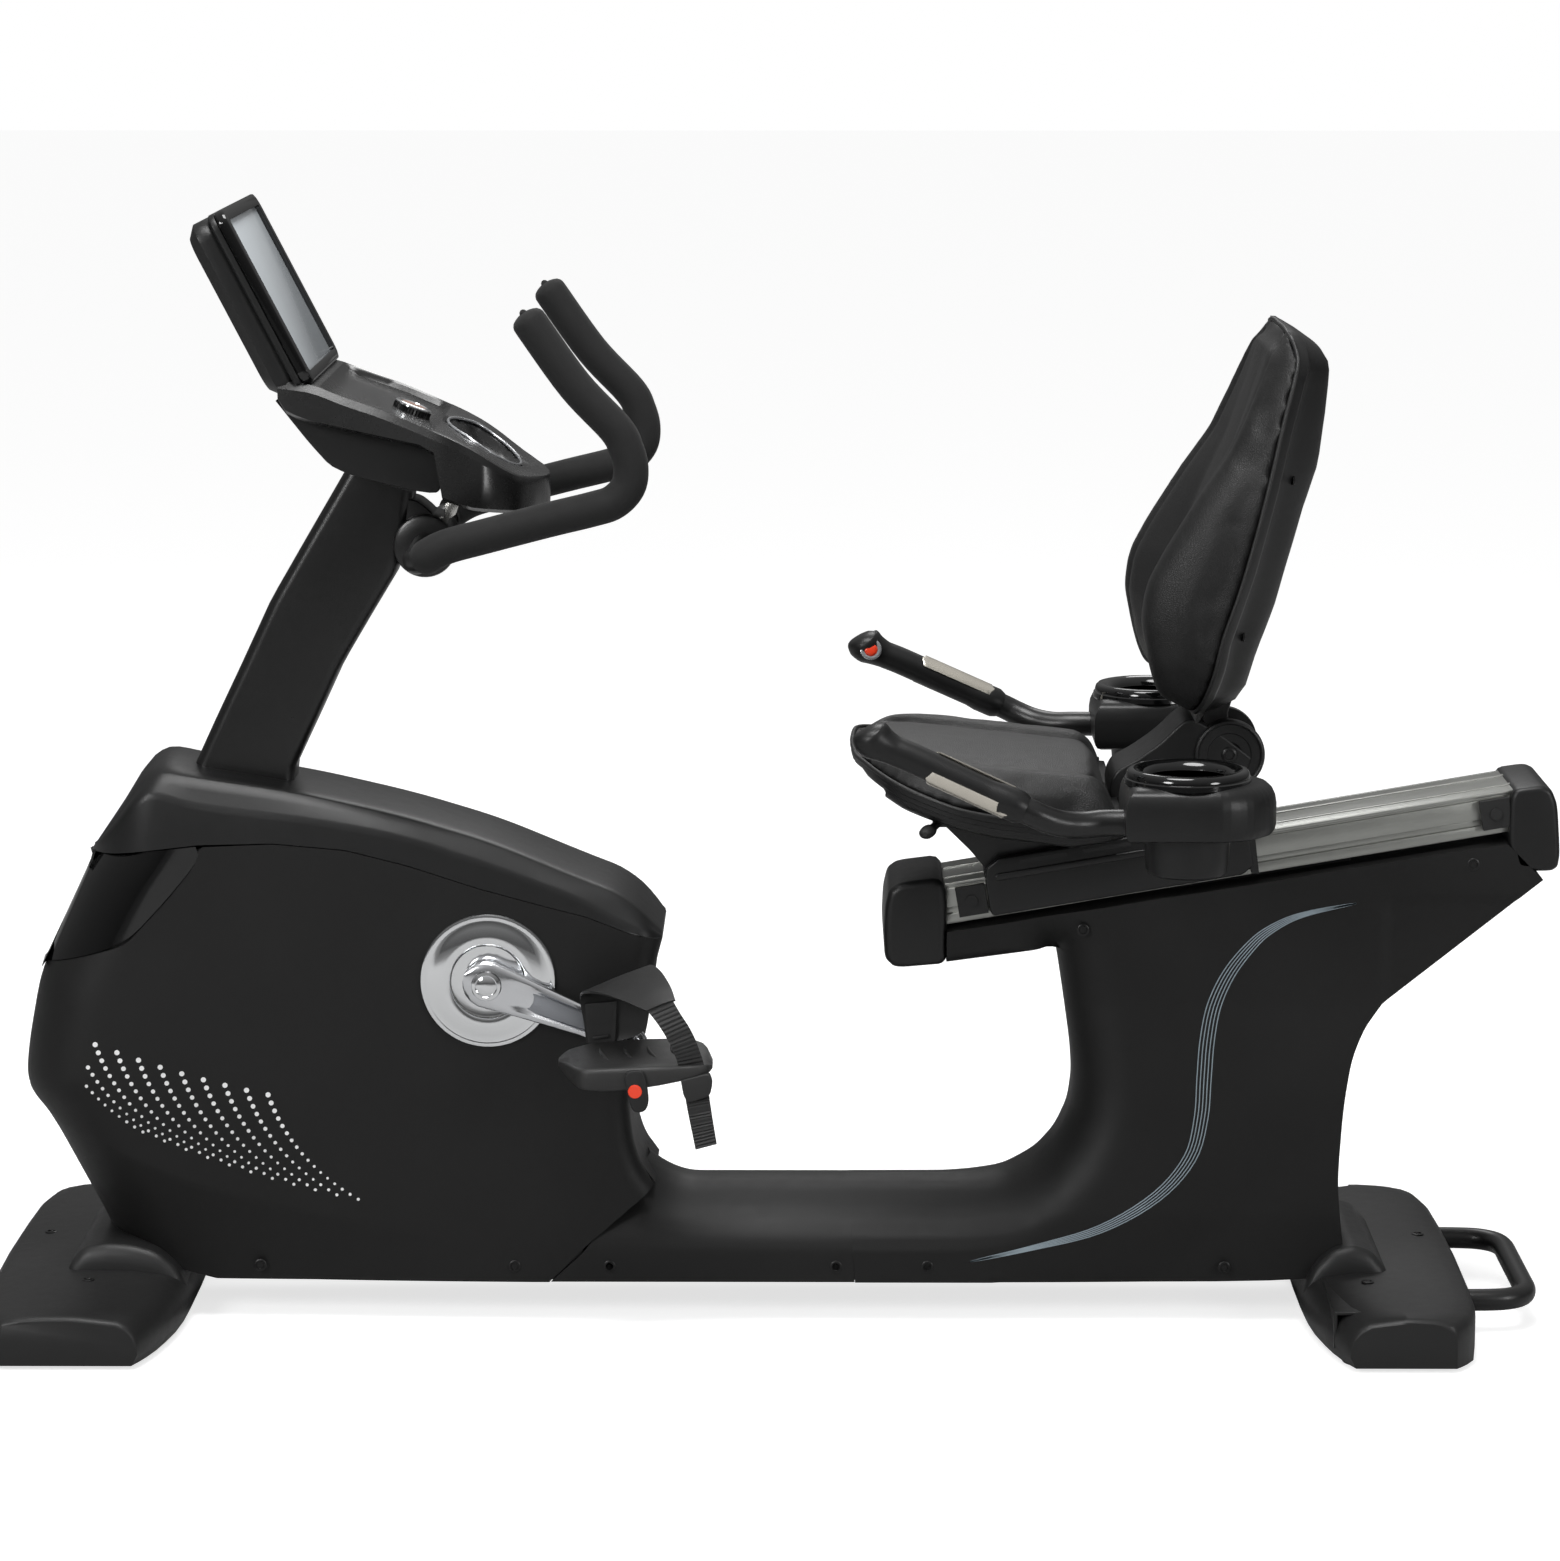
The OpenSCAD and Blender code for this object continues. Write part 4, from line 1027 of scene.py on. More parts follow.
ARCH_FOOT = 80.0
COVE_RISE, COVE_RUN, COVE_LIMIT = 17.0, 48.0, 1.3
COVE_START = 80.0
ARCH_POINTS = [
    (COVER_HALF, 45.5), (COVER_HALF, ARCH_FOOT), (92, 94), (78, 110.5), (60, 124.5), (40, 135.5),
    (20, 142.5), (0, 145),
]
ARCH = rounded(ARCH_POINTS, 4)


def cove_lift(into: float, z: float) -> float:
    """Raises the upper part of the beam's arch where it runs up into a cove."""
    share = min(max((z - ARCH_FOOT) / 60, 0.0), 1.0)
    return share * COVE_RISE * min(max(into, 0.0) / COVE_RUN, COVE_LIMIT) ** 2


@dataclass
class BeamCover(Assembly):
    """The low cover between the housing and the rear post."""

    def build(self) -> None:
        """Builds the cover as one arched strip between its two seams."""
        section = [(-y, z) for y, z in ARCH] + [(y, z) for y, z in reversed(ARCH[:-1])]
        rows = []
        for y, z in section:
            start = -242.5 + (z - 45) * 1.07
            end = 90.5 - (z - 45) * 0.06
            row = []
            for k in range(40):
                x = start + (end - start) * (k / 39)
                row.append((x, y, z + cove_lift(-x - COVE_START, z)))
            rows.append(row)
        obj = lay_grid("beam_shell", rows)
        if sum(p.normal.z * p.area for p in obj.data.polygons) < 0:
            obj.data.flip_normals()
        wall(obj, 3)
        self.paint.dress(smooth(obj, 35), "cover", "frame", ["beam_cover"], "cover_plastic")


POST_FRONT = rounded([
    (84, 145), (210, 145.5), (256, 151), (290, 169), (313, 194), (327, 226), (331, 258), (329, 290),
    (322, 340), (314, 392), (311, 407),
])
POST_CREASE = [(246, 74), (315, 88), (391, 121), (500, 203), (667, 352)]


# The beam's arch again, as depth below its top and share of the half width.
ARCH_DEPTH = [ARCH_POINTS[-1][1] - z for _, z in reversed(ARCH_POINTS[1:])]
ARCH_SHARE = [round(y / COVER_HALF, 3) for y, _ in reversed(ARCH_POINTS[1:])]


@dataclass
class RearCovers(Assembly):
    """The pair of covers round the rear post, from the beam up to the rail."""

    half: float = COVER_HALF
    waist: float = 75.0

    def half_width(self, x: float, z: float) -> float:
        """Half the width at a place on the side."""
        share = min(max((z - 120) / 230, 0), 1)
        width = self.half - (self.half - self.waist) * share
        if 246 < x < 667 and z < across(POST_CREASE, x):
            width -= 0.07 * min(across(POST_CREASE, x) - z, 90)
        elif x >= 667 and z < 470:
            width -= 2
        turn = min(max((x - 190) / 130, 0), 1)
        front = away(POST_FRONT, x, z)
        arched = width * float(np.interp(front, ARCH_DEPTH, ARCH_SHARE))
        rolled = 16 + (width - 16) * dome(front, 66)
        return min(width, arched * (1 - turn) + rolled * turn)

    def side(self) -> bpy.types.Object:
        """Builds the left cover from a beam-and-post net and an arm net."""
        low = rounded([(91, 45), (585, 45), (628, 62), (622, 110), (618, 157), (624, 240), (632, 292),
            (645, 326), (664, 353)])
        net = coons(POST_FRONT, low, [(84.5, 145), (88.5, 80), (91, 45)], [(311, 407), (664, 353)], 96, 46,
            None)
        crowd = [0.3 * (k / 12) ** 1.7 for k in range(12)] + [0.3 + 0.7 * k / 24 for k in range(25)]
        fine = []
        for share in crowd:
            at = share * (len(net) - 1)
            k = min(int(at), len(net) - 2)
            t = at - k
            pairs = zip(net[k], net[k + 1])
            fine.append([(a[0] * (1 - t) + b[0] * t, a[1] * (1 - t) + b[1] * t) for a, b in pairs])
        rows = [[(x, 0.0, z) for x, z in fine[0]]]
        rows += [[(x, -self.half_width(x, z), z) for x, z in row] for row in fine]
        rows.append([(x, 0.0, z) for x, z in fine[-1]])
        body = lay_grid("rear_body", rows)
        arm_low = [(190, 396), (300, 411), (311, 407), (664, 353), (836, 491)]
        arm_top = [(190, 432), (518, 485), (761, 525), (797, 530)]
        net = coons(arm_low, arm_top, [(190, 396), (190, 432)], [(836, 491), (797, 530)], 90, 22)
        rows = [[(x, 0.0, z) for x, z in net[0]]]
        for row in net:
            line = []
            for x, z in row:
                width = self.half_width(x, z)
                if x < 330:
                    width = min(width, 58 + 16 * dome(z - across(arm_low, x), 14))
                line.append((x, -width, z))
            rows.append(line)
        rows.append([(x, -64.0, z + 1.5) for x, z in net[-1]])
        rows.append([(x, 0.0, z + 1.5) for x, z in net[-1]])
        arm = lay_grid("rear_arm", rows)
        obj = join("left_rear_shell", [body, arm])
        tidy_mesh(obj, 0.2)
        DriveHousing.facing(obj)
        return smooth(obj, 30)

    def stripes(self) -> bpy.types.Object:
        """Lays a bundle of fine printed lines in an S along both covers."""
        spine = curve_through([(217, 0, 69), (290, 0, 86), (359, 0, 106), (420, 0, 142), (456, 0, 184),
            (468, 0, 228), (471, 0, 272),
                               (474, 0, 312), (481, 0, 350), (496, 0, 385), (518, 0, 415), (540, 0, 435),
                               (575, 0, 452), (634, 0, 465)], 5)
        parts = []
        for side in (LEFT, RIGHT):
            for lane in range(5):
                edges: list[list[Point]] = [[], []]
                for i, p in enumerate(spine):
                    run = (spine[min(i + 1, len(spine) - 1)] - spine[max(i - 1, 0)]).normalized()
                    share = i / (len(spine) - 1)
                    offset = (lane - 2) * 3.9 * math.sin(math.pi * share) ** 0.8
                    for edge, half in zip(edges, (-0.55, 0.55)):
                        x, z = p.x - run.z * (offset + half), p.z + run.x * (offset + half)
                        edge.append((x, side * (self.half_width(x, z) + 0.5), z))
                for i in range(len(spine) - 1):
                    ring = [edges[0][i], edges[0][i + 1], edges[1][i + 1], edges[1][i]]
                    parts.append((ring, [(x, y - side * 0.7, z) for x, y, z in ring]))
        return DriveHousing.prints("cover_lines", parts)

    def build(self) -> None:
        """Builds both covers."""
        self.paint.dress(self.stripes(), "line", "frame", slot="sensor_steel")
        left = self.side()
        right = mirrored(left, "right_rear_shell")
        self.paint.dress(left, "cover", "frame", ["left_rear_cover"], "cover_plastic")
        self.paint.dress(right, "cover", "frame", ["right_rear_cover"], "cover_plastic")


@dataclass
class Feet(Assembly):
    """Both floor feet with their arched collars, and the lifting handle."""

    half: float = 288.0
    height: float = 62.0

    def plan(self, y: float, outer: float, inner: float) -> Flat:
        """Gives the outer and inner X of a foot at a distance from the middle."""
        d = 1 if outer > inner else -1
        out = across([(0, 0), (120, 1.5), (200, 4), (258, 13), (276, 24), (288, 34)], y)
        into = across([(0, 0), (110, 1), (170, 6), (225, 16), (262, 26), (288, 36)], y)
        return outer - d * out, inner + d * into

    def block(self, name: str, outer: float, inner: float) -> bpy.types.Object:
        """Lofts one foot cover across the machine."""
        stations = [0, 40, 80, 120, 160, 200, 230, 255, 270, 280, 285, 288]
        stations = [-s for s in reversed(stations[1:])] + stations
        d = 1 if outer > inner else -1
        rings = []
        for y in stations:
            xo, xi = self.plan(abs(y), outer, inner)
            drop = across([(0, 0), (230, 0.5), (270, 1.5), (285, 4), (288, 7)], abs(y))
            top = self.height - drop
            ring = [(xo + d * 0, 5), (xo, top - 24)]
            ring += [(xo - d * 16 * (1 - math.cos(a)), top - 20 + 17 * math.sin(a)) for a in (0.3, 0.6, 0.9,
                1.2)]
            ring += [(xo - d * 26, top - 1.2), (xo - d * 48, top), ((xo + xi) / 2, top + 0.0),
                (xi + d * 62, top - 0.8)]
            ring += [(xi + d * 34 * (1 - math.sin(a)) + 0, top - 34 + 30 * math.cos(a)) for a in (0.35, 0.7,
                1.05, 1.4)]
            ring += [(xi, top - 38), (xi + d * 1.5, 14), (xi + d * 6, 5)]
            rings.append([(x, y, z) for x, z in ring])
        obj = loft(name, rings)
        bevel(obj, 3.0, 3, 38)
        return smooth(obj, 40)

    def collar(self, name: str, arch: Sequence[Flat]) -> bpy.types.Object:
        """Builds the smooth saddle where the housing meets a foot, rolled over at its sides."""
        line = rounded(list(arch), 6)[:-1]
        rings = []
        for y in [-112, -111.4, -110, -108, -105, -101.5, -99] + [-60, 0, 60] + [99, 101.5, 105, 108, 110,
            111.4, 112]:
            fall = 0.62 + 0.38 * dome(112 - abs(y), 12.5)
            middle = (line[0][0] + line[len(line) // 2][0]) / 2
            rings.append([(middle + (x - middle) * (0.9 + 0.1 * fall), y, 14 + (z - 14) * fall) for x,
                z in line])
        return smooth(loft(name, rings), 50)

    def build(self) -> None:
        """Builds the feet, collars and lifting handle."""
        front = self.block("front_foot_shell", -854, -636)
        rear = self.block("rear_foot_shell", 761, 578)
        self.paint.dress(front, "foot", "frame", ["front_foot_cover"], "foot_plastic")
        self.paint.dress(rear, "foot", "frame", ["rear_foot_cover"], "foot_plastic")
        one = self.collar("front_collar", [
            (-776, 40), (-768, 70), (-752, 86), (-728, 90), (-700, 88), (-672, 80), (-651, 62), (-640, 40),
            (-636, 18), (-776, 18), (-776, 40)])
        two = self.collar("rear_collar", [
            (579, 18), (582, 44), (594, 68), (612, 84), (634, 90), (654, 84), (670, 66), (680, 42),
            (684, 18), (579, 18)])
        self.paint.dress(join("foot_collar_lips", [one, two]), "foot", "frame", ["foot_collars"],
            "foot_plastic")
        run = [(676, 130, 36), (740, 130, 36), (780, 129, 36), (803, 124, 36), (819, 110, 36),
            (825.5, 88, 36), (826, 50, 36), (826, 0, 36)]
        right = curve_through(run, 8)
        path = right + [Vector((p.x, -p.y, p.z)) for p in reversed(right[:-1])]
        self.paint.dress(tube("lift_bar", path, 12, 28), "paint", "frame", ["lift_handle"], "tube_paint")


TILT = math.radians(9.65)
RAIL_START = (231.0, 491.0)


def on_rail(along: float, up: float) -> Flat:
    """Gives (x, z) for a place measured along the rail and out of its top."""
    return (
        RAIL_START[0] + along * math.cos(TILT) - up * math.sin(TILT),
        RAIL_START[1] + along * math.sin(TILT) + up * math.cos(TILT),
    )


def inflate(obj: bpy.types.Object, pressure: float, cap: float, pinned: Callable[[Vector],
    float]) -> bpy.types.Object:
    """Swells a closed pad with a short cloth simulation, capped and pinned where it is held.

    Args:
        obj: Closed pad mesh, a little smaller than the finished pad.
        pressure: Cloth pressure.
        cap: Furthest a point may move, in millimetres.
        pinned: Gives 0 where a point is held fast and 1 where it is free.

    Returns:
        The same object.
    """
    modify(obj, "REMESH", mode="VOXEL", voxel_size=6 * MM)
    start = [v.co.copy() for v in obj.data.vertices]
    pick(obj)
    cloth = obj.modifiers.new("Cloth", "CLOTH")
    cloth.settings.use_pressure = True
    cloth.settings.uniform_pressure_force = pressure
    cloth.settings.effector_weights.gravity = 0.0
    cloth.settings.tension_stiffness = 20
    cloth.settings.bending_stiffness = 2.0
    cloth.point_cache.frame_start, cloth.point_cache.frame_end = 1, 16
    for step in range(1, 17):
        bpy.context.scene.frame_set(step)
    bpy.ops.object.modifier_apply(modifier=cloth.name)
    bpy.context.scene.frame_set(1)
    for v, home in zip(obj.data.vertices, start):
        move = (v.co - home) * pinned(home / MM)
        if move.length > cap * MM:
            move *= cap * MM / move.length
        v.co = home + move
    modify(obj, "SMOOTH", factor=0.5, iterations=4)
    return smooth(obj, 80)


# Each ring of the pan: share of its height, distance in from the rim.
PAN_RIBS = [
    (0.0, 34), (0.02, 16), (0.16, 9), (0.30, 7), (0.33, 4.0), (0.52, 3.2), (0.55, 1.6), (0.76, 1.4),
    (0.79, 0.2), (0.99, 0.2), (1.0, 5),
]


@dataclass
class Seat(Assembly):
    """The bucket seat with its ribbed pan, on the sliding carriage."""

    half: float = 215.0

    def section(self, x: float) -> tuple[float, float, float]:
        """Gives the pan floor, cushion base and cushion top heights at a place along the seat."""
        floor = across([(94, 612), (100, 605), (141, 585), (200, 567), (237, 558), (320, 547), (368, 553)],
            x)
        base = across([(94, 628), (141, 609), (200, 590), (237, 582), (320, 570), (368, 577)], x)
        top = across([(90, 634), (104, 637), (122, 636), (160, 631), (220, 624), (290, 617), (340, 612),
            (368, 604)], x)
        return floor, base, top

    def outline_half(self, x: float) -> float:
        """Half the seat's width at a place along it, with rounded front corners."""
        return self.half * dome(x - 84, 118) ** 0.8 - 30 * (1 - dome(376 - x, 30)) - 10 * max((x - 200)
            / 170, 0)

    def cushion(self) -> bpy.types.Object:
        """Builds the cushion: raised bolsters, a crowned middle and a rounded nose."""
        rings = []
        stations = [91, 94, 99, 107, 118, 130] + [145 + 14 * k for k in range(16)] + [364, 368]
        for x in stations:
            _, base, top = self.section(x)
            half = self.outline_half(x) - 7
            close = min(dome(x - 90, 22), dome(370 - x, 16))
            ring = []
            for k in range(49):
                s = -1 + 2 * k / 48
                y = s * half
                bolster = 4 * math.exp(-(((abs(s) - 0.80) / 0.16) ** 2))
                valley = -4 * math.exp(-(((abs(s) - 0.60) / 0.07) ** 2))
                crown = 6 * (1 - min(abs(s) / 0.58, 1) ** 2)
                roll = (top - base + 4) * (1 - dome(1 - abs(s), 0.17))
                z = top + bolster + valley + crown - roll - 4
                ring.append((x, y, base + max(z - base, 1.0) * close))
            ring += [(x, (1 - 2 * k / 16) * half * 0.99, base + 0.2) for k in range(17)]
            rings.append(ring)
        obj = loft("seat_pad", rings)
        modify(obj, "REMESH", mode="VOXEL", voxel_size=5 * MM)
        obj = inflate(obj, 3.0, 7.0, lambda p: min(max((p.z - self.section(p.x)[1] - 3) / 12, 0), 1))
        self.crease(obj)
        modify(obj, "SUBSURF", levels=1, render_levels=1)
        return smooth(obj, 80)

    def crease(self, obj: bpy.types.Object) -> None:
        """Presses the sewn seams into the pad between the middle and its bolsters."""
        for v in obj.data.vertices:
            p = v.co / MM
            if not 94 < p.x < 368:
                continue
            _, base, _ = self.section(p.x)
            s = abs(p.y) / self.outline_half(p.x)
            if p.z > base + 8:
                v.co.z -= 5.5 * MM * math.exp(-(((s - 0.62) / 0.022) ** 2))
                v.co.z -= 2.0 * MM * math.exp(-(((s - 0.93) / 0.02) ** 2))

    def seams(self) -> bpy.types.Object:
        """Builds the welted seam where the cushion meets the pan."""
        path = [(x, -self.outline_half(x) + 3.2, self.section(x)[1] + 1.4) for x in (368, 340, 300, 250,
            200, 160, 132, 112, 98, 91)]
        front = [(87.5, y, self.section(94)[1] + 1.4) for y in (-22, 0, 22)]
        path = path + front + [(x, -y, z) for x, y, z in reversed(path)]
        return tube("seat_welt", curve_through(path, 5), 2.6, 10)

    def pan(self) -> bpy.types.Object:
        """Builds the pan with its layered ribs round the rim."""
        rings = []
        for level, inset in PAN_RIBS:
            loop = []
            for x, side in self.rim():
                half = max(self.outline_half(x) - inset, 1)
                xx = x + (inset * 0.8 if x < 120 else 0)
                floor, base, _ = self.section(x)
                loop.append((xx, side * half, floor + (base - floor) * level + 0.5))
            rings.append(loop)
        return smooth(loft("seat_shell", rings), 25)

    def rim(self) -> list[tuple[float, float]]:
        """Goes round the seat's rim as (x, share of half width)."""
        out = []
        for k in range(40):
            x = 374 - (374 - 86.5) * math.sin(math.pi / 2 * k / 39) ** 0.9
            out.append((x, -1.0))
        out += [(85.5, s) for s in (-0.6, -0.3, 0.0, 0.3, 0.6)]
        out += [(x, 1.0) for x, _ in reversed(out[:40])]
        out += [(374, s) for s in (0.6, 0.3, 0.0, -0.3, -0.6)]
        return out

    def carriage(self) -> None:
        """Builds the skirts of the sliding carriage with their ribs, slot and wiper; the slots are dark
        slabs of painted shade standing for the openings.
        """
        parts, dark = [], []
        for side in (LEFT, RIGHT):
            outline = [on_rail(s, u) for s, u in [
                (2, -42), (276, -42), (290, -34), (290, 4), (284, 12), (262, 20), (18, 20), (4, 12), (0, 0),
                (0, -36)]]
            parts.append(slab("skirt", outline, side * 63.5, side * 74, 2.6, 4))
            band = [on_rail(s, u) for s, u in [(14, -4), (266, -4), (270, 0), (266, 4), (14, 4), (10, 0)]]
            parts.append(slab("skirt_band", band, side * 72, side * 76, 1.6, 3))
            # Dark slot slabs: painted shade for the openings in the skirt.
            for k in range(3):
                dark.append(slab("slot", [on_rail(s, u) for s, u in [
                    (40 + 70 * k, 10), (92 + 70 * k, 10), (92 + 70 * k, 15), (40 + 70 * k, 15)]],
                    side * 73.4, side * 74.3))
            dark.append(slab("wiper", [on_rail(s, u) for s, u in [(286, -42), (294, -44), (296, 0),
                (287, 2)]], side * 62.4, side * 73))
        self.paint.dress(join("carriage_skirts", parts), "satin", "seat", ["carriage_cover"], "top_plastic")
        # The slots are painted shade; the wiper is real black rubber.
        self.paint.dress(join("carriage_slot_shades_and_wiper", dark), "dark", "seat", slot="rubber_black")

    def lever(self) -> None:
        """Builds the seat lever: a bent bar with a moulded handle under the pan's front."""
        bar = tube("lever_bar", curve_through([(184, -66, 561), (183, -90, 561), (176, -140, 563),
            (168, -190, 566)], 6), 4.5, 16)
        handle = tube("lever_handle", curve_through([(169, -182, 565.6), (167, -192, 566),
            (164.5, -205, 566.3), (162, -217, 566.6)], 4),
                      [5, 6.5, 7.6, 8, 8.2, 8.2, 8.2, 8.2, 8.0, 7.8, 7.0, 5.6, 3.0], 18, 0.8)
        boss = lathe("lever_boss", [(4.3, 0), (8.2, 0), (9, 1), (9, 9), (8.2, 10), (4.3, 10)],
            (185, -72, 555.5), (0, 0, 1), 32)
        self.paint.dress(join("seat_lever_bar", [bar, handle, boss]), "rubber", "seat_lever",
            ["seat_lever"], "tube_paint")

    def build(self) -> None:
        """Builds the seat, its pan, carriage and lever."""
        pad = self.cushion()
        self.paint.dress(pad, "leather", "seat", ["seat_cushion"], "leatherette")
        self.paint.dress(self.seams(), "piping", "seat", slot="leatherette")
        self.paint.dress(self.pan(), "satin", "seat", ["seat_pan"], "top_plastic")
        self.carriage()
        self.lever()


BACK_FRONT = [
    (681, 436), (690, 415), (700, 406), (733, 398), (784, 391), (822, 397), (860, 418), (917, 455),
    (961, 486),
    (1014, 510), (1048, 523), (1074, 531), (1088, 536),
]
BACK_REAR = [
    (681, 452), (706, 462), (733, 470), (761, 475), (834, 499), (880, 511), (928, 523), (980, 534),
    (1027, 546), (1055, 554), (1075, 552), (1088, 546),
]
SHELL_REAR = [
    (663, 501), (693, 513), (733, 524), (789, 543), (894, 570), (943, 584), (959, 586), (1016, 591),
    (1050, 593),
    (1064, 589), (1080, 569),
]


def at_height(line: Sequence[Flat], z: float) -> float:
    """Reads X off a line given as (z, x)."""
    return float(np.interp(z, [p[0] for p in line], [p[1] for p in line]))


@dataclass
class Backrest(Assembly):
    """The contoured backrest: bolstered cushion, piping and moulded shell."""

    half: float = 191.0

    def outline_half(self, z: float) -> float:
        """Half the backrest's width at a height: waisted low down, rounded at the top."""
        width = across([(678, 150), (700, 172), (740, 186), (800, 191), (900, 190), (980, 182), (1040, 168),
            (1064, 158), (1088, 146)], z)
        top = 46 * (1 - dome(1089 - z, 40))
        low = 50 * (1 - dome(z - 678, 40))
        return width - top - low

    def cushion(self) -> bpy.types.Object:
        """Builds the cushion ring by ring, upwards."""
        rings = []
        heights = [679, 682, 688, 697, 708] + [722 + 15 * k for k in range(23)] + [1062, 1072, 1080, 1085,
            1088]
        for z in heights:
            front, rear = at_height(BACK_FRONT, z), at_height(BACK_REAR, z)
            half = max(self.outline_half(z) - 5, 20)
            thick = rear - front
            close = min(dome(z - 678, 16), dome(1089 - z, 26))
            hollow = across([(680, 0.10), (740, 0.36), (860, 0.44), (960, 0.32), (1040, 0.2), (1100, 0.05)],
                z)
            ring = []
            for k in range(57):
                s = -1 + 2 * k / 56
                middle = max(1 - abs(s) / 0.62, 0)
                dip = thick * hollow * min(middle * 1.9, 1) ** 1.1
                crown = 5 * (1 - min(abs(s) / 0.5, 1) ** 2)
                groove = 5 * math.exp(-(((abs(s) - 0.64) / 0.05) ** 2))
                roll = thick * 0.92 * (1 - dome(1 - abs(s), 0.2))
                x = front + 6 + dip - crown + groove + roll
                ring.append((rear - max(rear - x, 2) * close, s * half, z))
            ring += [(rear, (1 - 2 * k / 18) * half * 0.985, z) for k in range(19)]
            rings.append(ring)
        obj = loft("backrest_pad", rings)
        obj = inflate(obj, 3.0, 8.0, lambda p: min(max((at_height(BACK_REAR, p.z) - 8 - p.x) / 14, 0), 1))
        for v in obj.data.vertices:
            p = v.co / MM
            s = abs(p.y) / max(self.outline_half(p.z), 20)
            if p.x < at_height(BACK_REAR, p.z) - 12:
                v.co.x += 4.5 * MM * math.exp(-(((s - 0.66) / 0.022) ** 2))
        modify(obj, "SUBSURF", levels=1, render_levels=1)
        return smooth(obj, 80)

    def piping(self) -> bpy.types.Object:
        """Builds the piping round the cushion's rear edge."""
        side = [(at_height(BACK_REAR, z) - 1.0, self.outline_half(z) - 3.5, z) for z in (684, 700, 730, 770,
            820, 880, 940, 1000, 1036, 1058, 1072, 1081)]
        top = [(at_height(BACK_REAR, 1086), y, 1087) for y in (60, 0, -60)]
        low = [(at_height(BACK_REAR, 682), y, 680) for y in (-60, 0, 60)]
        path = side + top + [(x, -y, z) for x, y, z in reversed(side)] + low + [side[0]]
        return tube("backrest_piping", curve_through(path, 4), 2.6, 10)

    def shell(self) -> bpy.types.Object:
        """Builds the moulded shell behind the cushion, with its raised spine."""
        rings = []
        heights = [672, 676, 684, 700] + [716 + 15 * k for k in range(23)] + [1056, 1068, 1078, 1084, 1087]
        for z in heights:
            face = at_height(BACK_REAR, z) + 0.4
            spine = at_height(SHELL_REAR, z) if z < 1080 else at_height(SHELL_REAR, 1080) - (z - 1080) * 1.2
            half = max(self.outline_half(max(z, 686)) - 2, 30)
            flat = across([(672, 36), (760, 52), (900, 70), (1000, 96), (1050, 104), (1088, 90)], z)
            close = min(dome(z - 670, 24), dome(1089 - z, 18))
            ring = [(face, (-1 + 2 * k / 16) * half, z) for k in range(17)]
            for k in range(1, 41):
                y = half * (1 - 2 * k / 41)
                t = abs(y)
                if t < flat:
                    depth = spine - face - 2.0 * (t / flat) ** 2
                else:
                    u = (t - flat) / (half - flat)
                    depth = 12 * dome(1 - u, 0.3) + (spine - face - 14) * (0.5 + 0.5
                        * math.cos(math.pi * min(u * 1.7, 1)))
                ring.append((face + max(depth, 1) * close + 0.2, y, z))
            rings.append(ring)
        obj = loft("backrest_moulding", rings)
        return smooth(obj, 38)

    def details(self) -> None:
        """Builds the screws on the shell's rear."""
        dots = []
        for y, z in ((-96, 760), (96, 760), (-112, 930), (112, 930), (0, 720), (0, 1034)):
            x = at_height(BACK_REAR, z) + 12.4 if abs(y) > 50 else at_height(SHELL_REAR, z) + 0.1
            if abs(y) > 50:
                x = self.surface(y, z)
            dots.append(lathe("shell_screw", [(0, -1), (5.2, -1), (5.2, 0.6), (4.4, 1.4), (2.4, 1.5),
                (2.2, 0.2), (0, 0.2)], (x, y, z), (1, 0, 0), 24))
        self.paint.dress(join("shell_screws", dots), "screw", "backrest", slot="console_shell")

    def surface(self, y: float, z: float) -> float:
        """Gives the X of the shell's rear face at a place."""
        face = at_height(BACK_REAR, z) + 0.4
        spine = at_height(SHELL_REAR, z)
        half = self.outline_half(z) - 2
        flat = across([(672, 36), (760, 52), (900, 70), (1000, 96), (1050, 104), (1088, 90)], z)
        u = max((abs(y) - flat) / (half - flat), 0)
        return face + 12 * dome(1 - u, 0.3) + (spine - face - 14) * (0.5 + 0.5
            * math.cos(math.pi * min(u * 1.7, 1)))

    def build(self) -> None:
        """Builds the backrest."""
        pad = self.cushion()
        self.paint.dress(pad, "leather", "backrest", ["backrest_cushion"], "leatherette")
        self.paint.dress(self.piping(), "piping", "backrest", slot="leatherette")
        self.paint.dress(self.shell(), "satin", "backrest", ["backrest_shell"], "console_shell")
        self.details()


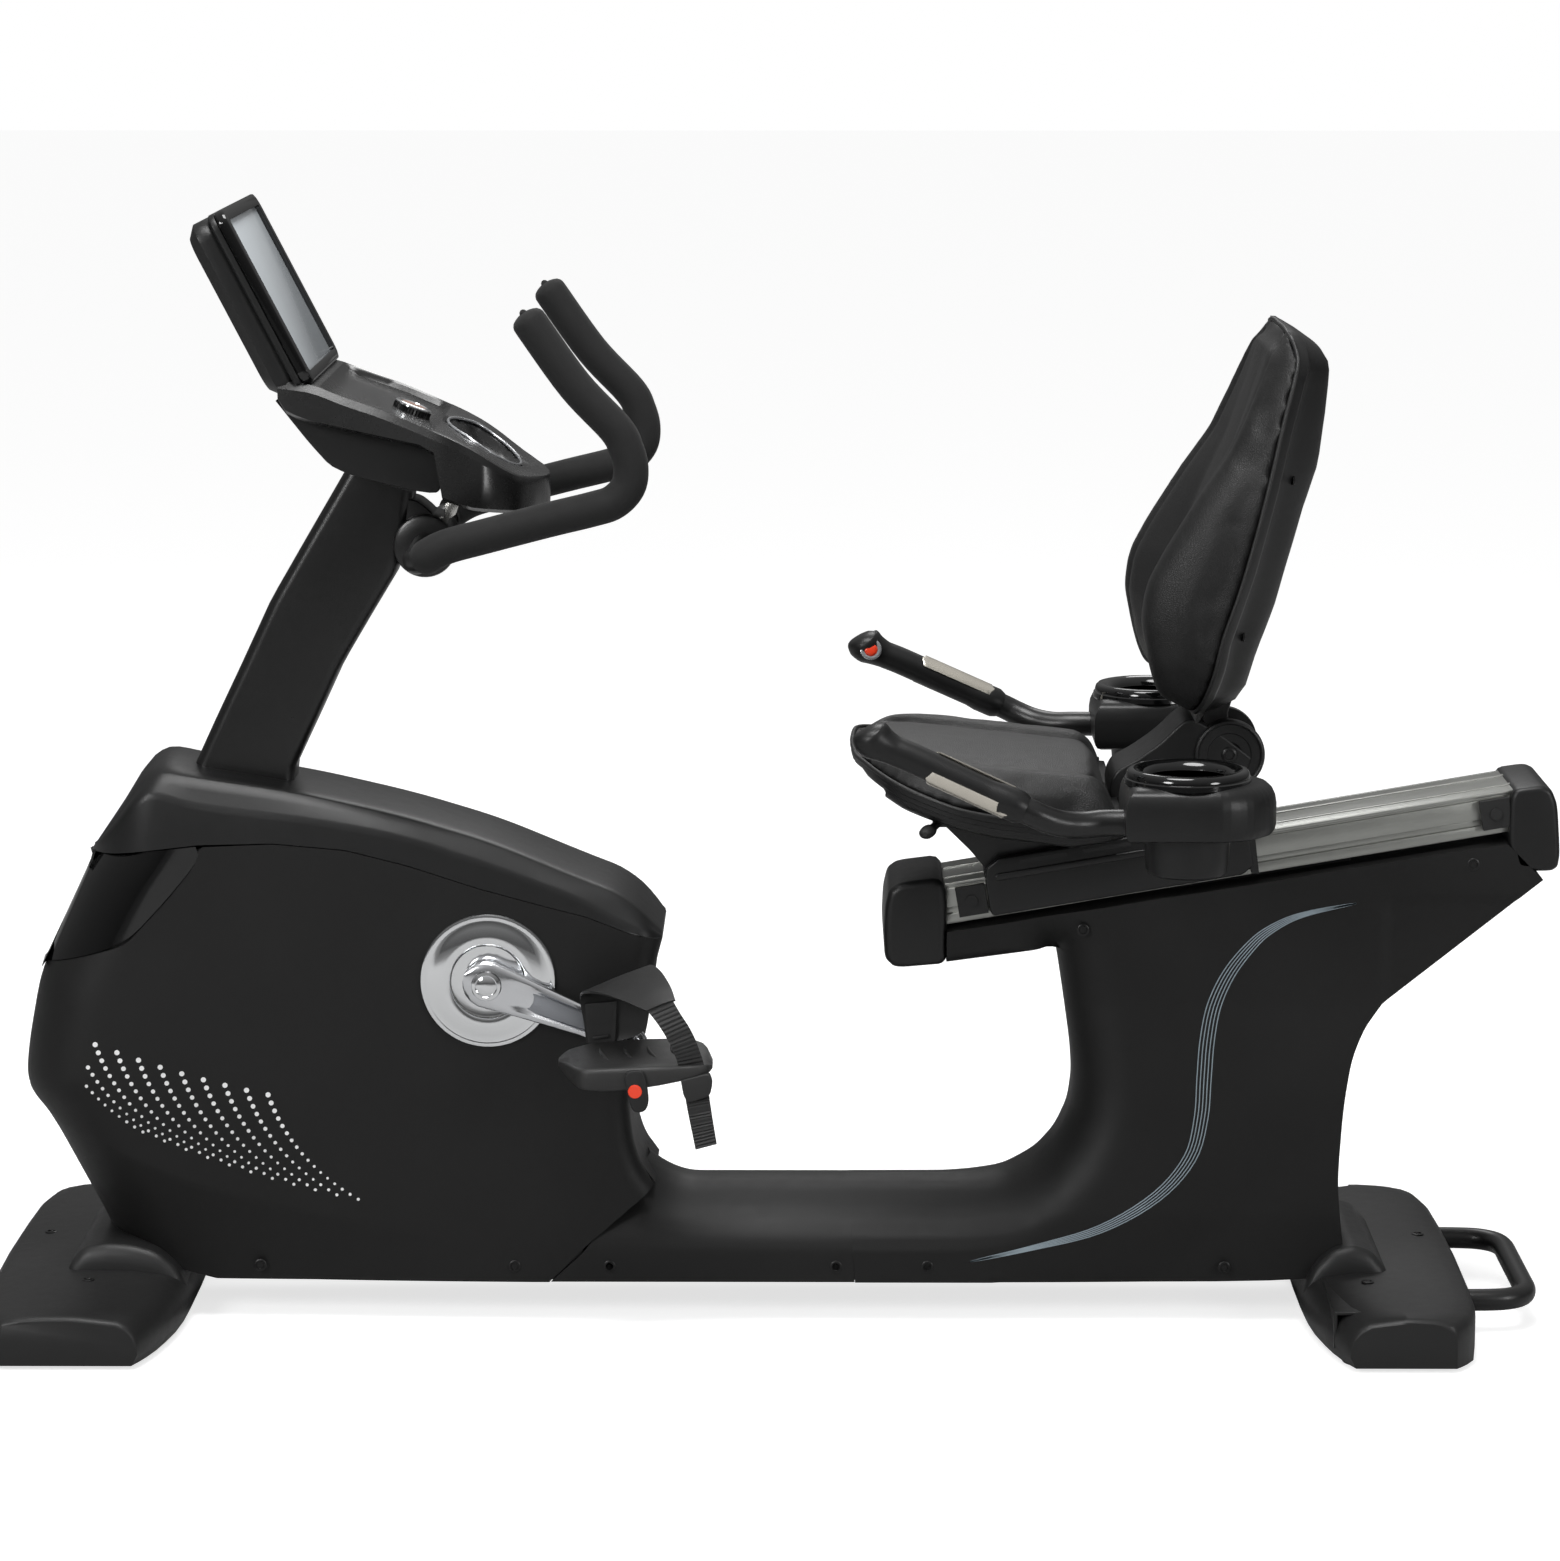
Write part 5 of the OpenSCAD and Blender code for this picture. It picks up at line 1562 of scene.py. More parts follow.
@dataclass
class SideGrips(Assembly):
    """Grip bars, cup holders, sensors and the hinge housing beside the seat."""

    cup_x: float = 433.0
    cup_y: float = 290.0

    def bars(self) -> None:
        """Builds the bent bars from the grips into the cup blocks."""
        parts = []
        for side in (LEFT, RIGHT):
            run = [(150, 338, 667), (206, 341.5, 641), (262, 345, 616), (281, 343, 607), (300, 336, 600),
                (322, 326, 597), (345, 320, 598), (372, 319, 598)]
            parts.append(tube("grip_bar", [(p.x, side * p.y, p.z) for p in curve_through(run, 6)], 14, 28))
        parts.append(lathe("cross_bar", [(0, 0), (14, 0), (14, 440), (0, 440)], (432, -220, 585), (0, 1, 0),
            32))
        self.paint.dress(join("grip_bars", parts), "paint", "seat", ["side_handle_tubes"], "tube_paint")

    def grips(self) -> None:
        """Builds the sleeves with their paddle heads, sensor plates, pads and buttons."""
        sleeves, plates, pads = [], [], []
        for side in (LEFT, RIGHT):
            line = curve_through([(98, 334, 699), (105, 334.5, 689), (124, 336, 678), (150, 338, 667),
                (206, 341.5, 641), (262, 345, 616)], 6)
            size = []
            for i, _ in enumerate(line):
                t = i / (len(line) - 1)
                size.append(float(np.interp(t, [0, 0.03, 0.08, 0.17, 0.26, 0.33, 0.42, 0.88, 0.9, 0.97,
                    1.0], [7, 14, 18.5, 22, 22, 19, 16.6, 16.6, 18.4, 18.4, 15.5])))
            sleeves.append(tube("sleeve", [(p.x, side * p.y, p.z) for p in line], size, 36, 0.94))
            for angle, spread in ((90 + 32 * side, 32), (90 - 128 * side, 32)):
                plates.append(self.plate(side, angle, spread))
            pads.append(lathe("pad", [(0, 0), (11.5, 0), (12.5, 1.2), (12.5, 2.4), (10.5, 3.2), (8.6, 2.6),
                (0, 2.6)], (111, side * 317.5, 685), (0.1, -side, 0.25), 40))
        self.paint.dress(join("grip_sleeves", sleeves), "satin", "seat", ["hand_grips"], "top_plastic")
        self.paint.dress(join("sensor_strips", plates), "sensor", "seat", ["sensor_plates"], "sensor_steel")
        self.paint.dress(join("button_rings", pads), "silver", "seat", slot="sensor_steel")
        for side, body in ((LEFT, "left_grip_button"), (RIGHT, "right_grip_button")):
            cap = lathe(body + "_cap", [(0, -3), (7.6, -3), (7.8, 2.0), (6.8, 3.2), (4, 3.9), (0, 4.1)],
                (111, side * 316.5, 685), (0.1, -side, 0.25), 36)
            self.paint.dress(cap, "red", body, [body], "button_red")

    def plate(self, side: int, angle: float, spread: float) -> bpy.types.Object:
        """Wraps one thin sensor plate part way round a sleeve."""
        a, b = Vector((152, side * 338, 666)), Vector((262, side * 345, 616))
        run = (b - a).normalized()
        u = Vector((0, 1, 0)) - run * run.y
        u.normalize()
        v = u.cross(run)
        if v.z < 0:
            v = -v
        rows = []
        for i in range(25):
            t = i / 24
            along = a + run * (14 + 92 * t)
            reach = spread * min(dome(t, 0.03), dome(1 - t, 0.03))
            row = []
            for k in range(13):
                th = math.radians(angle + reach * (-1 + k / 6))
                row.append(along + (u * math.cos(th) + v * math.sin(th)) * 18.1)
            rows.append([tuple(p) for p in row])
        obj = lay_grid("plate", rows)
        centre = (a + b) / 2 * MM
        if sum((p.center - centre).dot(p.normal) for p in obj.data.polygons) < 0:
            obj.data.flip_normals()
        wall(obj, 1.2)
        return smooth(obj, 40)

    def cups(self) -> None:
        """Builds the cup blocks with glossy rims and tapering wells."""
        blocks, rims, wells = [], [], []
        for side in (LEFT, RIGHT):
            outline = [(365, -70), (365, 70)] + [(455 + 70 * math.cos(a), 70 * math.sin(a))
                for a in [math.pi * (0.5 - k / 24) for k in range(25)]]
            rings = []
            for z, shrink in ((583, 8), (585, 3.5), (589, 1), (595, 0), (616, 0), (624, 1.2), (631, 4.2),
                (636, 9), (638.5, 16)):
                loop = []
                for x, y in rounded(outline + [outline[0]], 4, 0.12)[:-1]:
                    d = Vector((x - 440, y))
                    d *= 1 - shrink / 75
                    loop.append((440 + d.x, side * self.cup_y + d.y, z))
                rings.append(loop)
            blocks.append(smooth(loft("block", rings), 30))
            at = (self.cup_x, side * self.cup_y, 0)
            rims.append(lathe("rim", [(48, 634), (65, 634), (66.5, 636), (65.8, 641), (64.4, 642),
                (64.4, 643.4), (63.2, 648), (60.5, 650.6), (55, 651), (48.5, 648), (44.8, 643),
                (43.2, 634)], at, (0, 0, 1), 72))
            wells.append(lathe("well", [
                (42.8, 641), (42.2, 600), (38, 545), (0, 543.5), (0, 539), (37, 539), (41, 541),
                (42.6, 545), (43.6, 560), (45.4, 582), (46.6, 600), (48.2, 641)], at, (0, 0, 1), 64))
        body = join("cup_blocks", blocks)
        self.hollow(body)
        self.paint.dress(body, "satin", "seat", ["cup_holders"], "console_shell")
        self.paint.dress(join("cup_rims", rims), "window", "seat", slot="console_shell")
        self.paint.dress(join("cup_wells", wells), "satin", "seat", slot="console_shell")

    def hollow(self, body: bpy.types.Object) -> None:
        """Cuts the cup wells out of the blocks."""
        for side in (LEFT, RIGHT):
            deselect()
            bpy.ops.mesh.primitive_cylinder_add(
                vertices=64, radius=46.4 * MM, depth=0.3, location=(self.cup_x * MM, side * self.cup_y * MM,
                    0.61))
            cutter = bpy.context.object
            modify(body, "BOOLEAN", operation="DIFFERENCE", object=cutter, solver="EXACT")
            bpy.data.objects.remove(cutter)
        smooth(body, 30)

    def hinge(self) -> None:
        """Builds the hinge housing: banded drum, side discs with bolts, and the fairing."""
        fairing = rounded([
            on_rail(151, 44), on_rail(284, 44), (524, 596), (532, 612), (496, 640), (478, 652), (456, 664),
            (444, 660), (421, 637), (396, 619),
            (374, 607), (368, 596), (366, 580), on_rail(151, 44)], 4)[:-1]
        parts = [slab("fairing", fairing, -50, 50, 5, 4)]
        for side in (LEFT, RIGHT):
            parts.append(lathe("drum_edge", [(30, -14), (38, -14), (38.4, -2), (37.2, 0.6), (35.5, 1.2),
                (34, 0.4), (33, -1.6), (24, -2.2), (23, -3.6), (14, -4), (12.5, -5.6), (0, -5.6)],
                (496, side * 53, 624), (0, side, 0), 72))
        drum = join("hinge_cover", parts)
        self.paint.dress(drum, "satin", "seat", ["hinge_housing"], "top_plastic")
        bolts = []
        for side in (LEFT, RIGHT):
            bolts.append(lathe("hinge_bolt", [(0, -2), (9, -2), (9, 1.4), (7.6, 3.0), (5.4, 3.4),
                (4.8, 1.0), (0, 1.0)], (496, side * 48.6, 624), (0, side, 0), 6 * 6))
        self.paint.dress(join("hinge_bolts", bolts), "screw", "seat", slot="top_plastic")

    def build(self) -> None:
        """Builds everything beside the seat."""
        self.bars()
        self.grips()
        self.cups()
        self.hinge()


LEAN = math.radians(27.2)
SLOPE = math.radians(21.4)
SCREEN_FOOT = (-480.0, 1036.0)


def on_screen(out: float, up: float) -> Flat:
    """Gives (x, z) for a place measured out of the screen's face and up along it."""
    return (
        SCREEN_FOOT[0] + out * math.cos(LEAN) - up * math.sin(LEAN),
        SCREEN_FOOT[1] + out * math.sin(LEAN) + up * math.cos(LEAN),
    )


def deck_turn() -> Matrix:
    """Gives the turn that lays a flat thing on the deck."""
    return Matrix.Rotation(SLOPE, 3, "Y")


@dataclass
class Console(Assembly):
    """The leaning screen, the sloping deck and its controls."""

    half: float = 156.0
    tall: float = 206.0

    def screen_slab(
        self, name: str, half: float, low: float, high: float, back: float, face: float, corner: float,
        edge: float,
    ) -> bpy.types.Object:
        """Builds a rounded panel lying in the screen's own axes.

        Args:
            name: Name of the piece.
            half: Half width.
            low: Lower end along the screen.
            high: Upper end along the screen.
            back: Rear face, out of the screen.
            face: Front face, out of the screen.
            corner: Corner radius.
            edge: Edge bevel.

        Returns:
            The new object.
        """
        ring = []
        for cy, cz, start in ((half - corner, high - corner, 0), (-half + corner, high - corner, 90),
                              (-half + corner, low + corner, 180), (half - corner, low + corner, 270)):
            for k in range(9):
                a = math.radians(start + 90 * k / 8)
                ring.append((cy + corner * math.cos(a), cz + corner * math.sin(a)))
        rings = []
        for out, shrink in ((back, edge), (back + edge, 0), (face - edge, 0),
            (face - 0.3 * edge, edge * 0.3), (face, edge)):
            loop = []
            for y, up in ring:
                y2 = y - math.copysign(min(shrink, abs(y)), y)
                middle = (low + high) / 2
                up2 = up - math.copysign(min(shrink, abs(up - middle)), up - middle)
                x, z = on_screen(out, up2)
                loop.append((x, y2, z))
            rings.append(loop)
        return smooth(loft(name, rings), 32)

    def head(self) -> None:
        """Builds the screen head: back moulding, polished frame, pane and vents; the vents are dark slats
        of painted shade.
        """
        back = self.screen_slab("console_rear", self.half - 4, 3, self.tall - 1, -49, -17, 22, 11)
        seam = self.screen_slab("console_middle", self.half - 1, 1, self.tall, -20, -12, 18, 2)
        neck = slab("console_neck", rounded([
            (-527, 1014), (-513, 996), (-491, 968), (-464, 938), (-355, 911.5), (-351, 930), (-353, 953),
            (-372, 965), (-489, 991), (-511, 999), (-527, 1014)], 4)[:-1],
            -108, 108, 7, 4)
        self.paint.dress(join("console_body", [back, seam, neck]), "satin", "frame", ["console_back"],
            "console_shell")
        frame = self.screen_slab("bezel", self.half, 2, self.tall, -13, 0, 16, 3.0)
        deselect()
        x, z = on_screen(-4, self.tall / 2)
        bpy.ops.mesh.primitive_cube_add(size=1, location=(x * MM, 0, z * MM), rotation=(0, -LEAN, 0),
            scale=(14 * MM, 277 * MM, 178 * MM))
        cutter = bpy.context.object
        bevel(cutter, 5, 3, 30)
        modify(frame, "BOOLEAN", operation="DIFFERENCE", object=cutter, solver="EXACT")
        bpy.data.objects.remove(cutter)
        bevel(frame, 1.0, 2, 50)
        self.paint.dress(smooth(frame, 30), "window", "frame", ["console_bezel"], "gloss_black")
        pane = self.screen_slab("console_pane", 138.3, 13.5, self.tall - 11, -12.5, -5, 5, 0.6)
        self.paint.dress(pane, "screen", "frame", ["console_screen"], "screen_face")
        # The vents are dark slats, painted shade standing for the openings in the back moulding.
        slots = []
        for k in range(9):
            for side in (LEFT, RIGHT):
                slots.append(self.screen_slab("vent", 16, 60 + 9 * k, 63.5 + 9 * k, -50, -47.6, 1.6, 0.4))
                slots[-1].data.transform(Matrix.Translation((0, side * 52 * MM, 0)))
        self.paint.dress(join("console_vent_shades", slots), "dark", "frame", slot="console_shell")

    def deck_outline(self, x: float) -> float:
        """Half the deck's width at a place along it."""
        return across([(-522, 150), (-500, 153), (-450, 156), (-400, 155), (-350, 151.5), (-325, 147),
            (-300, 138), (-284, 127), (-268, 110), (-256, 84), (-248, 56), (-243, 30), (-241.2, 6)], x)

    def deck(self) -> bpy.types.Object:
        """Builds the deck tongue with a rolled rim, a recessed floor and a bowl."""
        top = rounded([(-522, 1040), (-484, 1036), (-450, 1022), (-410, 1009), (-325, 972), (-271, 934),
            (-241, 925)], 4)
        under = [(-522, 1018), (-511, 1001), (-489, 993), (-372, 967), (-352, 955.8), (-349.6, 911),
            (-318, 899), (-255, 890.5), (-241, 893)]
        rings = []
        stations = [-520, -512, -500, -488] + [-476 + 8 * k for k in range(29)] + [-246, -243, -241.4]
        for x in stations:
            half = self.deck_outline(x)
            zt, zb = across(top, x), across(under, x)
            ring = []
            for k in range(61):
                s = -1 + 2 * k / 60
                y = s * half
                edge = half * (1 - abs(s))
                z = zt - 9 * (1 - dome(edge, 9))
                z -= self.recess(x, y, edge)
                ring.append((x, y, max(z, zb + 3)))
            ring += [(x, half * (1 - 2 * k / 20) * 0.985,
                zb + 5 * (1 - dome(half * (1 - abs(1 - 2 * k / 20)), 10))) for k in range(21)]
            rings.append(ring)
        return smooth(loft("deck_tongue", rings), 28)

    @staticmethod
    def recess(x: float, y: float, edge: float) -> float:
        """Depth pressed into the deck: the control floor and the rear bowl."""
        floor = 0.0
        if -470 < x < -362 and edge > 10:
            floor = 8.5 * dome(edge - 10, 8) * dome(x + 470, 8) * dome(-362 - x, 8)
        radius = math.hypot((x + 312) / 40, y / 78)
        if radius < 1:
            floor = max(floor, 22 * (1 - radius ** 3.2))
        return floor

    def controls(self) -> None:
        """Builds the dial, the bar keys and the bowl's bright rim."""
        turn = deck_turn()
        at = (-394, 0, 984)
        normal = (math.sin(SLOPE), 0, math.cos(SLOPE))
        ridges = []
        for i in range(13):
            z = 2.0 + 12.6 * i / 12
            ridges.append([(
                (20.4 + (0.6 if k % 2 else -0.35)) * math.cos(math.pi * k / 36),
                (20.4 + (0.6 if k % 2 else -0.35)) * math.sin(math.pi * k / 36), z) for k in range(72)])
        knurl = placed(smooth(loft("knurl", ridges), 50), turn, at)
        self.paint.dress(knurl, "screw", "console_knob", ["console_knob"], "knob_ring")
        ring = lathe("dial_ring", [(20.2, 14.0), (21, 14.3), (21, 15.8), (19.6, 17.0), (15.6, 17.2),
            (14.6, 16.2), (14.6, 14)], at, normal, 72)
        cap = lathe("dial_cap", [(0, 14), (14.4, 14), (14.4, 16.0), (13.4, 16.5), (6, 16.0), (0, 15.8)], at,
            normal, 64)
        self.paint.dress(ring, "chrome", "console_knob", slot="knob_ring")
        self.paint.dress(cap, "copper", "console_knob", slot="knob_ring")
        key = [(-7.6, -3), (7.6, -3), (7.6, 3.2), (6, 4.2), (-6, 4.2), (-7.6, 3.2)]
        bar = slab("bar_key", key, -49.5, 49.5, 1.4, 3)
        self.paint.dress(placed(bar, turn, (-440, 0, 1002)), "key", "console_key", ["console_key"],
            "deck_plastic")
        low = slab("low_key", [(-5.5, -3), (5.5, -3), (5.5, 2.2), (4.5, 3), (-4.5, 3), (-5.5, 2.2)], -34,
            34, 1.2, 3)
        self.paint.dress(placed(low, turn, (-368, 0, 977)), "key", "frame", slot="deck_plastic")
        pads = []
        for side in (LEFT, RIGHT):
            for k in range(3):
                pad = lathe("soft_key", [(0, 0), (9.5, 0), (10, 0.8), (9.4, 2.0), (6, 2.4), (0, 2.2)],
                    (0, 0, 0), (0, 0, 1), 36)
                x = -428 + 24 * k
                pads.append(placed(pad, turn, (x, side * (78 - 6 * k), 997 - (x + 428) * math.tan(SLOPE)
                    + 1.0)))
        self.paint.dress(join("soft_keys", pads), "key", "frame", slot="deck_plastic")
        path = []
        for k in range(48):
            a = 2 * math.pi * k / 48
            x, y = -312 + 39 * math.cos(a), 76.5 * math.sin(a)
            top = across([(-450, 1022), (-410, 1009), (-325, 972), (-271, 934), (-241, 925)], x)
            path.append((x, y, top - 0.2))
        rim = tube("bowl_rim", path + [path[0]], 1.7, 10)
        self.paint.dress(rim, "silver", "frame", slot="deck_plastic")

    def build(self) -> None:
        """Builds the console."""
        self.head()
        self.paint.dress(self.deck(), "deck", "frame", ["control_deck"], "deck_plastic")
        self.controls()


@dataclass
class MastAndBars(Assembly):
    """The console mast, the clamp and the bullhorn handlebar."""

    def mast(self) -> bpy.types.Object:
        """Lofts the tapering mast with rounded corners, upwards."""
        front = [(560, -640), (598, -635), (660, -606), (720, -577), (790, -544), (860, -503), (931, -461)]
        rear = [(560, -518), (601, -523), (660, -495), (716, -469), (770, -437), (821, -406), (860, -394),
            (903, -388), (931, -386)]
        rings = []
        for k in range(24):
            t = k / 23
            a = Vector((at_height(front, 562 + 368 * t), 0, 562 + 368 * t))
            zr = 562 + 345 * t
            b = Vector((at_height(rear, zr), 0, zr))
            loop = []
            run = (b - a).normalized()
            radius = 13.0
            for cx, cy in ((0.0, -1), (0.0, 1), (1.0, 1), (1.0, -1)):
                corner = a if cx == 0.0 else b
                inward = 1 if cx == 0.0 else -1
                centre = corner + run * (inward * radius) + Vector((0, cy * (34.6 - radius), 0))
                order = range(6) if (cx == 0.0) == (cy > 0) else range(5, -1, -1)
                for j in order:
                    ang = math.pi / 2 * j / 5
                    loop.append(centre + run * (-inward * radius * math.cos(ang))
                        + Vector((0, cy * radius * math.sin(ang), 0)))
            rings.append([tuple(p) for p in loop])
        return smooth(loft("mast_column", rings), 40)

    def clamp(self) -> bpy.types.Object:
        """Builds the round clamp and its web to the mast."""
        boss = lathe("clamp_boss", [(14.2, -45), (30, -45), (33, -43.5), (34, -40), (34, 40), (33, 43.5),
            (30, 45), (14.2, 45)], (-375, 0, 850), (0, 1, 0), 64)
        web = slab("clamp_web", rounded([(-402, 832), (-404, 900), (-384, 899), (-366, 884), (-356, 862),
            (-356, 836), (-380, 822), (-402, 832)], 4)[:-1], -31, 31, 6, 4)
        return join("handlebar_boss", [boss, web])

    def build(self) -> None:
        """Builds the mast, clamp, bars and grips."""
        self.paint.dress(self.mast(), "mast", "frame", ["mast"], "mast_paint")
        self.paint.dress(self.clamp(), "mast", "frame", ["handlebar_clamp"], "mast_paint")
        right = curve_through([
            (-375, 0, 850), (-375, 80, 850), (-375, 150, 850), (-373, 184, 852), (-363, 204, 858),
            (-340, 210, 870.5), (-300, 210, 881.5), (-233, 210, 899), (-186, 210, 910.5),
            (-164, 210, 918), (-149, 210, 934), (-146, 210, 954), (-151, 210, 974), (-162, 210, 995),
            (-204, 210, 1040), (-248, 210, 1102)], 6)
        whole = [Vector((p.x, -p.y, p.z)) for p in reversed(right[1:])] + right
        self.paint.dress(tube("handlebar_tube", whole[3:-3], 13.9, 28), "paint", "frame", ["handlebar"],
            "tube_paint")
        foams = []
        for side in (LEFT, RIGHT):
            path = [Vector((p.x, side * p.y, p.z)) for p in right if p.x > -366 and p.z > 856 and p.y > 200]
            step = (path[-1] - path[-2]).normalized()
            tail = [path[-1] + step * d for d in (6, 9, 12, 14, 15.4, 16)]
            size = [16.6, 18.2] + [18.5] * (len(path) - 2) + [18.3, 17.2, 14.8, 11, 6.5, 2.5]
            foams.append(tube("foam", path + tail, size, 36))
            foams.append(tube("nub", [path[-1] + step * d for d in (12, 16, 18, 19.4)],
                [4.5, 4.2, 3.2, 1.2], 16))
        self.paint.dress(join("foam_grips", foams), "foam", "frame", ["handlebar_grips"], "foam_grip")
        collars = []
        for side in (LEFT, RIGHT):
            a = Vector((-366, side * 202, 856.5))
            collars.append(lathe("grip_collar", [(14, 0), (16.6, 0), (17.2, 1), (17.2, 5), (16.6, 6),
                (14, 6)], tuple(a), (0.62, side * 0.45, 0.34), 40))
        self.paint.dress(join("grip_collars", collars), "rubber", "frame", slot="foam_grip")
        tab = slab("cable_tab", [(-356, 872), (-344, 880), (-338, 898), (-346, 902), (-356, 890)], -6, 6,
            1.2, 2)
        self.paint.dress(tab, "steel", "frame", slot="bearing_steel")


@dataclass
class Rail(Assembly):
    """The seat rail with its end caps and stops."""

    def build(self) -> None:
        """Builds the caps and dresses the rail."""
        nose = rounded([(190, 396), (134, 391), (122.6, 402), (121, 430), (122.4, 459), (127, 478),
            (138, 486), (190, 492.5), (190, 396)], 4, 0.3)[:-1]
        one = slab("nose_cap", nose, -74, 74, 9, 5, 40)
        tail = rounded([(798, 529), (798, 590), (832, 595), (843, 590), (850, 573), (854, 520), (852, 505),
            (845, 500), (806, 500), (798, 529)], 4, 0.3)[:-1]
        two = slab("tail_cap", tail, -75, 75, 8, 5, 40)
        self.paint.dress(join("rail_caps", [one, two]), "satin", "frame", ["rail_end_caps"], "top_plastic")
        parts = [slab("rail_body", [on_rail(s, u) for s, u in ((-60, -45), (590, -45), (590, 0), (-60, 0))],
            -58, 58, 1.5, 2)]
        for side in (LEFT, RIGHT):
            for low, high, out in ((-45, -34, 62), (-34, -27, 59.5), (-27, -6, 62), (-6, -3.5, 60.6),
                (-3.5, 0, 62)):
                outline = [on_rail(s, u) for s, u in ((-60, low), (590, low), (590, high), (-60, high))]
                parts.append(slab("rail_side", outline, side * 57, side * out, 0.7, 2))
            outline = [on_rail(s, u) for s, u in ((-60, -2), (590, -2), (590, 1.2), (-60, 1.2))]
            parts.append(slab("rail_lip", outline, side * 24, side * 32, 0.8, 2))
        self.paint.dress(join("rail_extrusion", parts), "rail", "frame", ["seat_rail"], "rail_aluminium")
        self.paint.carry(self.frame, "rail_stops", "rubber", 1.5)


